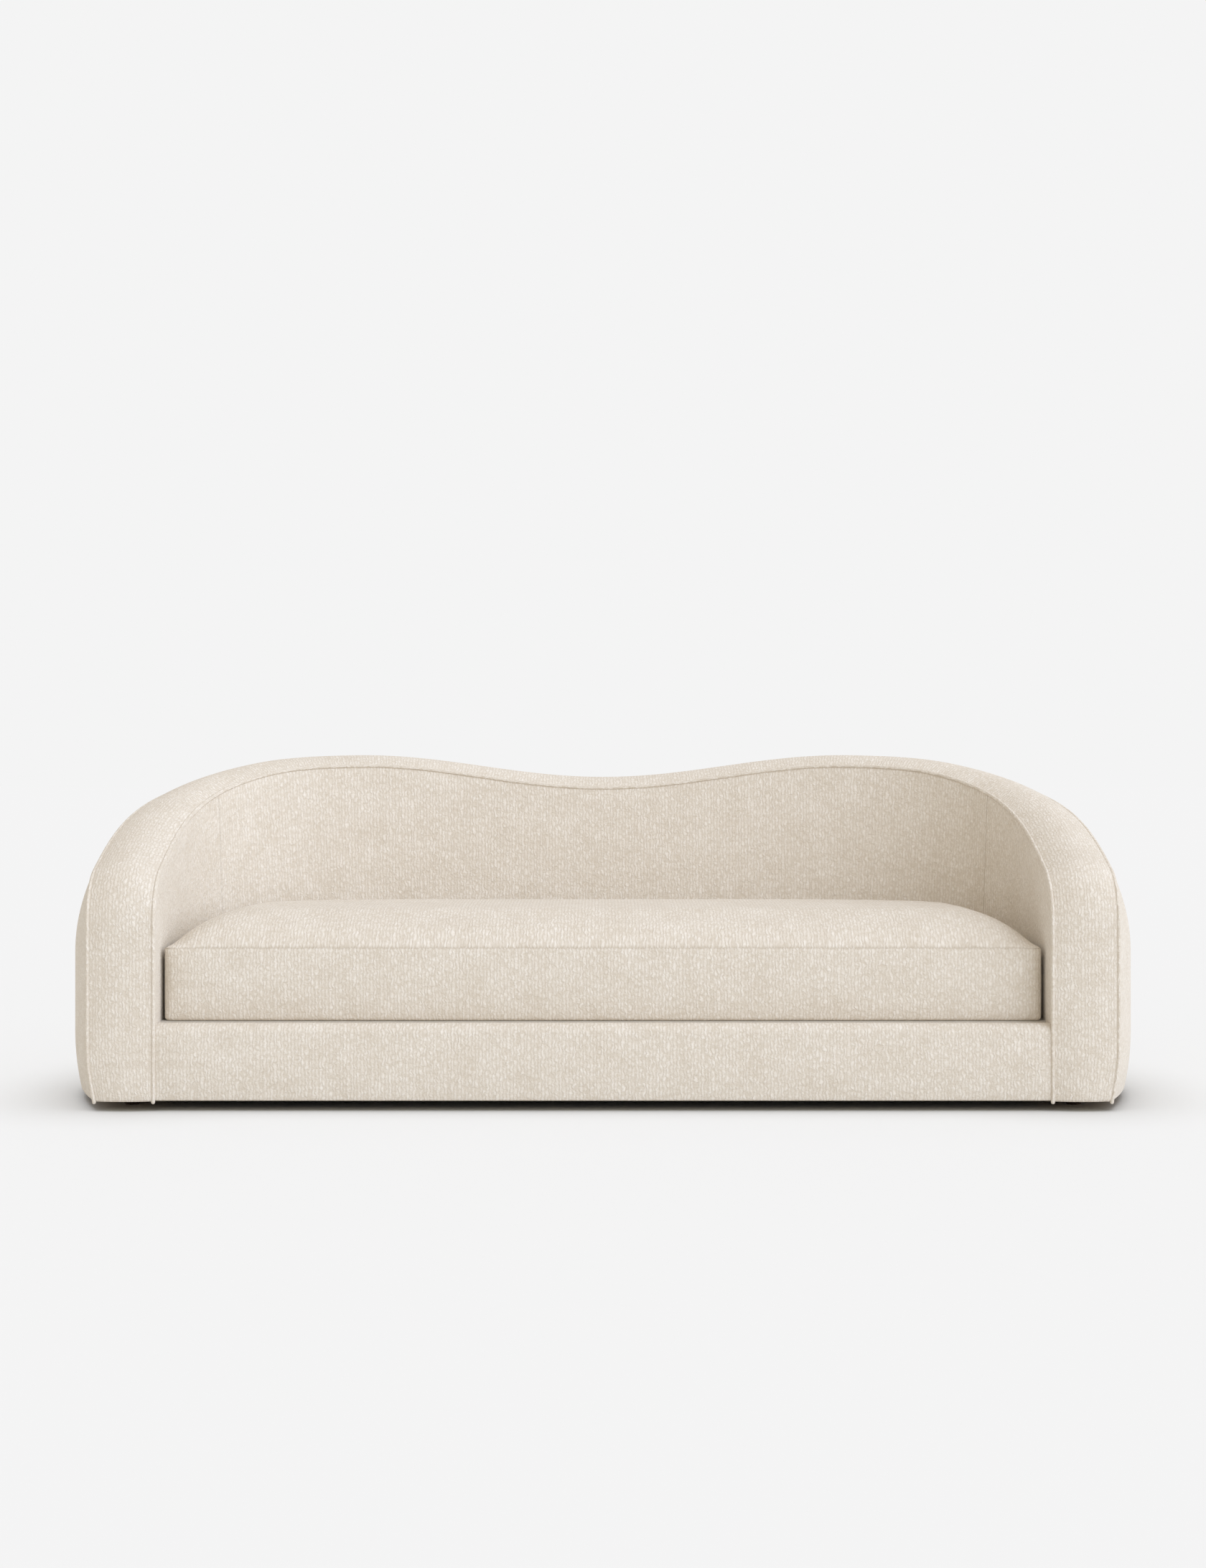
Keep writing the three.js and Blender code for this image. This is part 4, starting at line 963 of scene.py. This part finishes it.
def wood_material(name, group, dark, light, ring_scale, roughness, coat=0.0):
    material, tree, shader = new_material(name)
    place = node(tree, "ShaderNodeTexCoord").outputs["Object"]
    grain = place_group(tree, group, Place=place, Ring_Scale=ring_scale)
    pores = calc(tree, "MULTIPLY", grain.outputs["Pores"], 0.4)
    tone = calc(tree, "MULTIPLY_ADD", grain.outputs["Grain"], 0.6, pores)
    link(tree, ramp(tree, tone, [(0.15, dark), (0.85, light)]), shader.inputs["Base Color"])
    rough = calc(tree, "MULTIPLY_ADD", grain.outputs["Pores"], 0.2, roughness - 0.1)
    link(tree, rough, shader.inputs["Roughness"])
    shader.inputs["Coat Weight"].default_value = coat
    shader.inputs["Coat Roughness"].default_value = 0.25
    bump(tree, shader, grain.outputs["Pores"], 0.3, 0.0004)
    return material


def foam_material(name, dark, light):
    material, tree, shader = new_material(name)
    place = node(tree, "ShaderNodeTexCoord").outputs["Object"]
    pores = node(tree, "ShaderNodeTexVoronoi")
    link(tree, place, pores.inputs["Vector"])
    pores.inputs["Scale"].default_value = 600
    colour = ramp(tree, pores.outputs["Distance"], [(0.0, dark), (0.6, light)])
    link(tree, colour, shader.inputs["Base Color"])
    shader.inputs["Roughness"].default_value = 0.95
    bump(tree, shader, pores.outputs["Distance"], 0.6, 0.0008)
    return material


def steel_material(name):
    material, tree, shader = new_material(name)
    place = node(tree, "ShaderNodeTexCoord").outputs["Object"]
    drawn = vector_calc(tree, "MULTIPLY", place, (1.0, 1.0, 0.1))
    brushed = noise(tree, drawn, 1500.0, 2.0).outputs["Fac"]
    colour = ramp(tree, brushed, [(0.3, (0.42, 0.42, 0.43)), (0.7, (0.62, 0.62, 0.63))])
    link(tree, colour, shader.inputs["Base Color"])
    link(tree, calc(tree, "MULTIPLY_ADD", brushed, 0.25, 0.22), shader.inputs["Roughness"])
    shader.inputs["Metallic"].default_value = 1
    bump(tree, shader, brushed, 0.2, 0.0002)
    return material


def set_material(piece, material):
    piece.data.materials.clear()
    piece.data.materials.append(material)


# ---- The sofa's pieces ----

def finish_soft(piece, material, body, nodes):
    """Says what a soft piece is made of, what it rides on and what it stands for."""
    set_material(piece, material)
    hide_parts(*nodes)
    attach(piece, body)


def make_upholstery(boucle):
    inside, outside, band, rail = make_inside(), make_outside(), make_band(), make_front_rail()
    for piece in (inside, outside, band, rail):
        give_thickness(piece, CLOTH_THICKNESS)
    finish_soft(inside, boucle, "sofa", ["inside_cover"])
    finish_soft(outside, boucle, "sofa", ["outside_cover"])
    finish_soft(band, boucle, "sofa", ["band_cover"])
    finish_soft(rail, boucle, "sofa", ["front_rail_cover"])
    finish_soft(make_welt("inner_welt_cord", 0), boucle, "sofa", ["inner_welt"])
    finish_soft(make_welt("outer_welt_cord", 1), boucle, "sofa", ["outer_welt"])


CUSHION_NODES = ["cushion_top_panel", "cushion_boxing", "cushion_bottom_panel", "cushion_foam_core"]


def dress_cad_nodes(woods):
    """Gives each part that keeps its own shape a material for its slot."""
    finishes = {
        "foam": foam_material("seat_foam", (0.62, 0.55, 0.36), (0.83, 0.77, 0.56)),
        "lining": plain_cloth("deck_lining", (0.58, 0.54, 0.47), (0.74, 0.70, 0.63), 220, 0.0004),
        "black_cloth": plain_cloth("dust_cloth", (0.012, 0.012, 0.012), (0.04, 0.04, 0.04), 300, 0.0003),
        "plywood": wood_material("birch_ply", woods, (0.42, 0.28, 0.15), (0.66, 0.49, 0.31), 24, 0.7),
        "frame_wood": wood_material("pine_frame", woods, (0.55, 0.36, 0.19), (0.78, 0.60, 0.38), 18, 0.65),
        "foot_wood": wood_material("walnut_feet", woods, WALNUT_DARK, WALNUT_LIGHT, 60, 0.4, 0.4),
        "steel": steel_material("zinc_steel"),
        "webbing": plain_cloth("elastic_webbing", (0.16, 0.12, 0.07), (0.42, 0.34, 0.22), 160, 0.0006),
        "zip_cloth": plain_cloth("zip_tape_cloth", (0.55, 0.51, 0.44), (0.74, 0.70, 0.62), 420, 0.0003),
    }
    for part in frame["record"]["subparts"]:
        finish = finishes.get(part["material_slot"])
        if finish is not None:
            set_material(frame["nodes"][part["node"]], finish)


# ---- Floor, light and camera ----

KEY_STRENGTH = 1.80
KEY_TINT = (0.87, 0.98, 1.20)
KEY_FROM = (0.72, -0.46, 0.50)
KEY_SPREAD = math.radians(70)
FLOOR_LIGHT_STRENGTH = 2.35
FLOOR_LIGHT_TINT = (0.951, 0.996, 1.053)
FLOOR_LIGHT_FROM = (0, 0, 1)
FLOOR_LIGHT_SPREAD = math.radians(60)
ROOM_TINT = (0.80, 0.765, 0.725)
BACKDROP_TONE = 0.905
FLOOR_TONE = 0.60
FLOOR_SIZE = 60
FLOOR_CENTRE_Y = 10
EYE_DISTANCE = 5.0
EYE_HEIGHT = 0.797
LENS = 52.5
SENSOR_WIDTH = 36
HORIZON_SHIFT = -0.0238
FARTHEST_SEEN = 100


def make_floor():
    deselect_all()
    bpy.ops.mesh.primitive_plane_add(size=FLOOR_SIZE, location=(0, FLOOR_CENTRE_Y, 0))
    floor = active_piece("floor")
    material, _, shader = new_material("pale_floor")
    shader.inputs["Base Color"].default_value = (FLOOR_TONE, FLOOR_TONE, FLOOR_TONE, 1)
    shader.inputs["Roughness"].default_value = 1
    shader.inputs["Specular IOR Level"].default_value = 0
    set_material(floor, material)
    return floor


def add_sun(name, strength, spread, tint, towards, floor, floor_state):
    """A soft sun that lights the floor alone, or all but the floor."""
    light = bpy.data.lights.new(name, "SUN")
    light.energy, light.angle, light.color = strength, spread, tint
    lamp = bpy.data.objects.new(name, light)
    bpy.context.scene.collection.objects.link(lamp)
    lamp.rotation_euler = Vector(towards).to_track_quat("Z", "Y").to_euler()
    lit = bpy.data.collections.new(name + "_lights")
    lit.objects.link(floor)
    lit.collection_objects[0].light_linking.link_state = floor_state
    lamp.light_linking.receiver_collection = lit


def make_lights(floor):
    """A warm room all round, a cool key from the right, and the floor's own light from above."""
    world = bpy.data.worlds.new("studio")
    bpy.context.scene.world = world
    world.use_nodes = True
    tree = world.node_tree
    background = tree.nodes["Background"]
    seen = node(tree, "ShaderNodeLightPath").outputs["Is Camera Ray"]
    backdrop = (BACKDROP_TONE, BACKDROP_TONE, BACKDROP_TONE, 1)
    link(tree, mix_colour(tree, seen, (*ROOM_TINT, 1), backdrop), background.inputs["Color"])
    background.inputs["Strength"].default_value = 1
    add_sun("key", KEY_STRENGTH, KEY_SPREAD, KEY_TINT, KEY_FROM, floor, "EXCLUDE")
    above = (FLOOR_LIGHT_STRENGTH, FLOOR_LIGHT_SPREAD, FLOOR_LIGHT_TINT, FLOOR_LIGHT_FROM)
    add_sun("floor_light", *above, floor, "INCLUDE")


def make_camera():
    camera = bpy.data.cameras.new("camera")
    camera.lens = LENS
    camera.sensor_width = SENSOR_WIDTH
    camera.shift_y = HORIZON_SHIFT
    camera.clip_end = FARTHEST_SEEN
    eye = bpy.data.objects.new("camera", camera)
    bpy.context.scene.collection.objects.link(eye)
    eye.location = (0, FRONT_Y - EYE_DISTANCE, EYE_HEIGHT)
    eye.rotation_euler = (math.pi / 2, 0, 0)
    bpy.context.scene.camera = eye


bpy.context.scene.view_settings.view_transform = "Standard"
make_camera()
boucle_ribs = boucle_group()
cream_boucle = boucle_material("cream_boucle", boucle_ribs, VALLEY_SHADE_COLOUR, YARN_RIDGE)
make_upholstery(cream_boucle)
cushion = make_cushion()
stuff_cushion(cushion)
finish_soft(cushion, cream_boucle, "seat_cushion", CUSHION_NODES)
dress_cad_nodes(grain_group())
make_lights(make_floor())
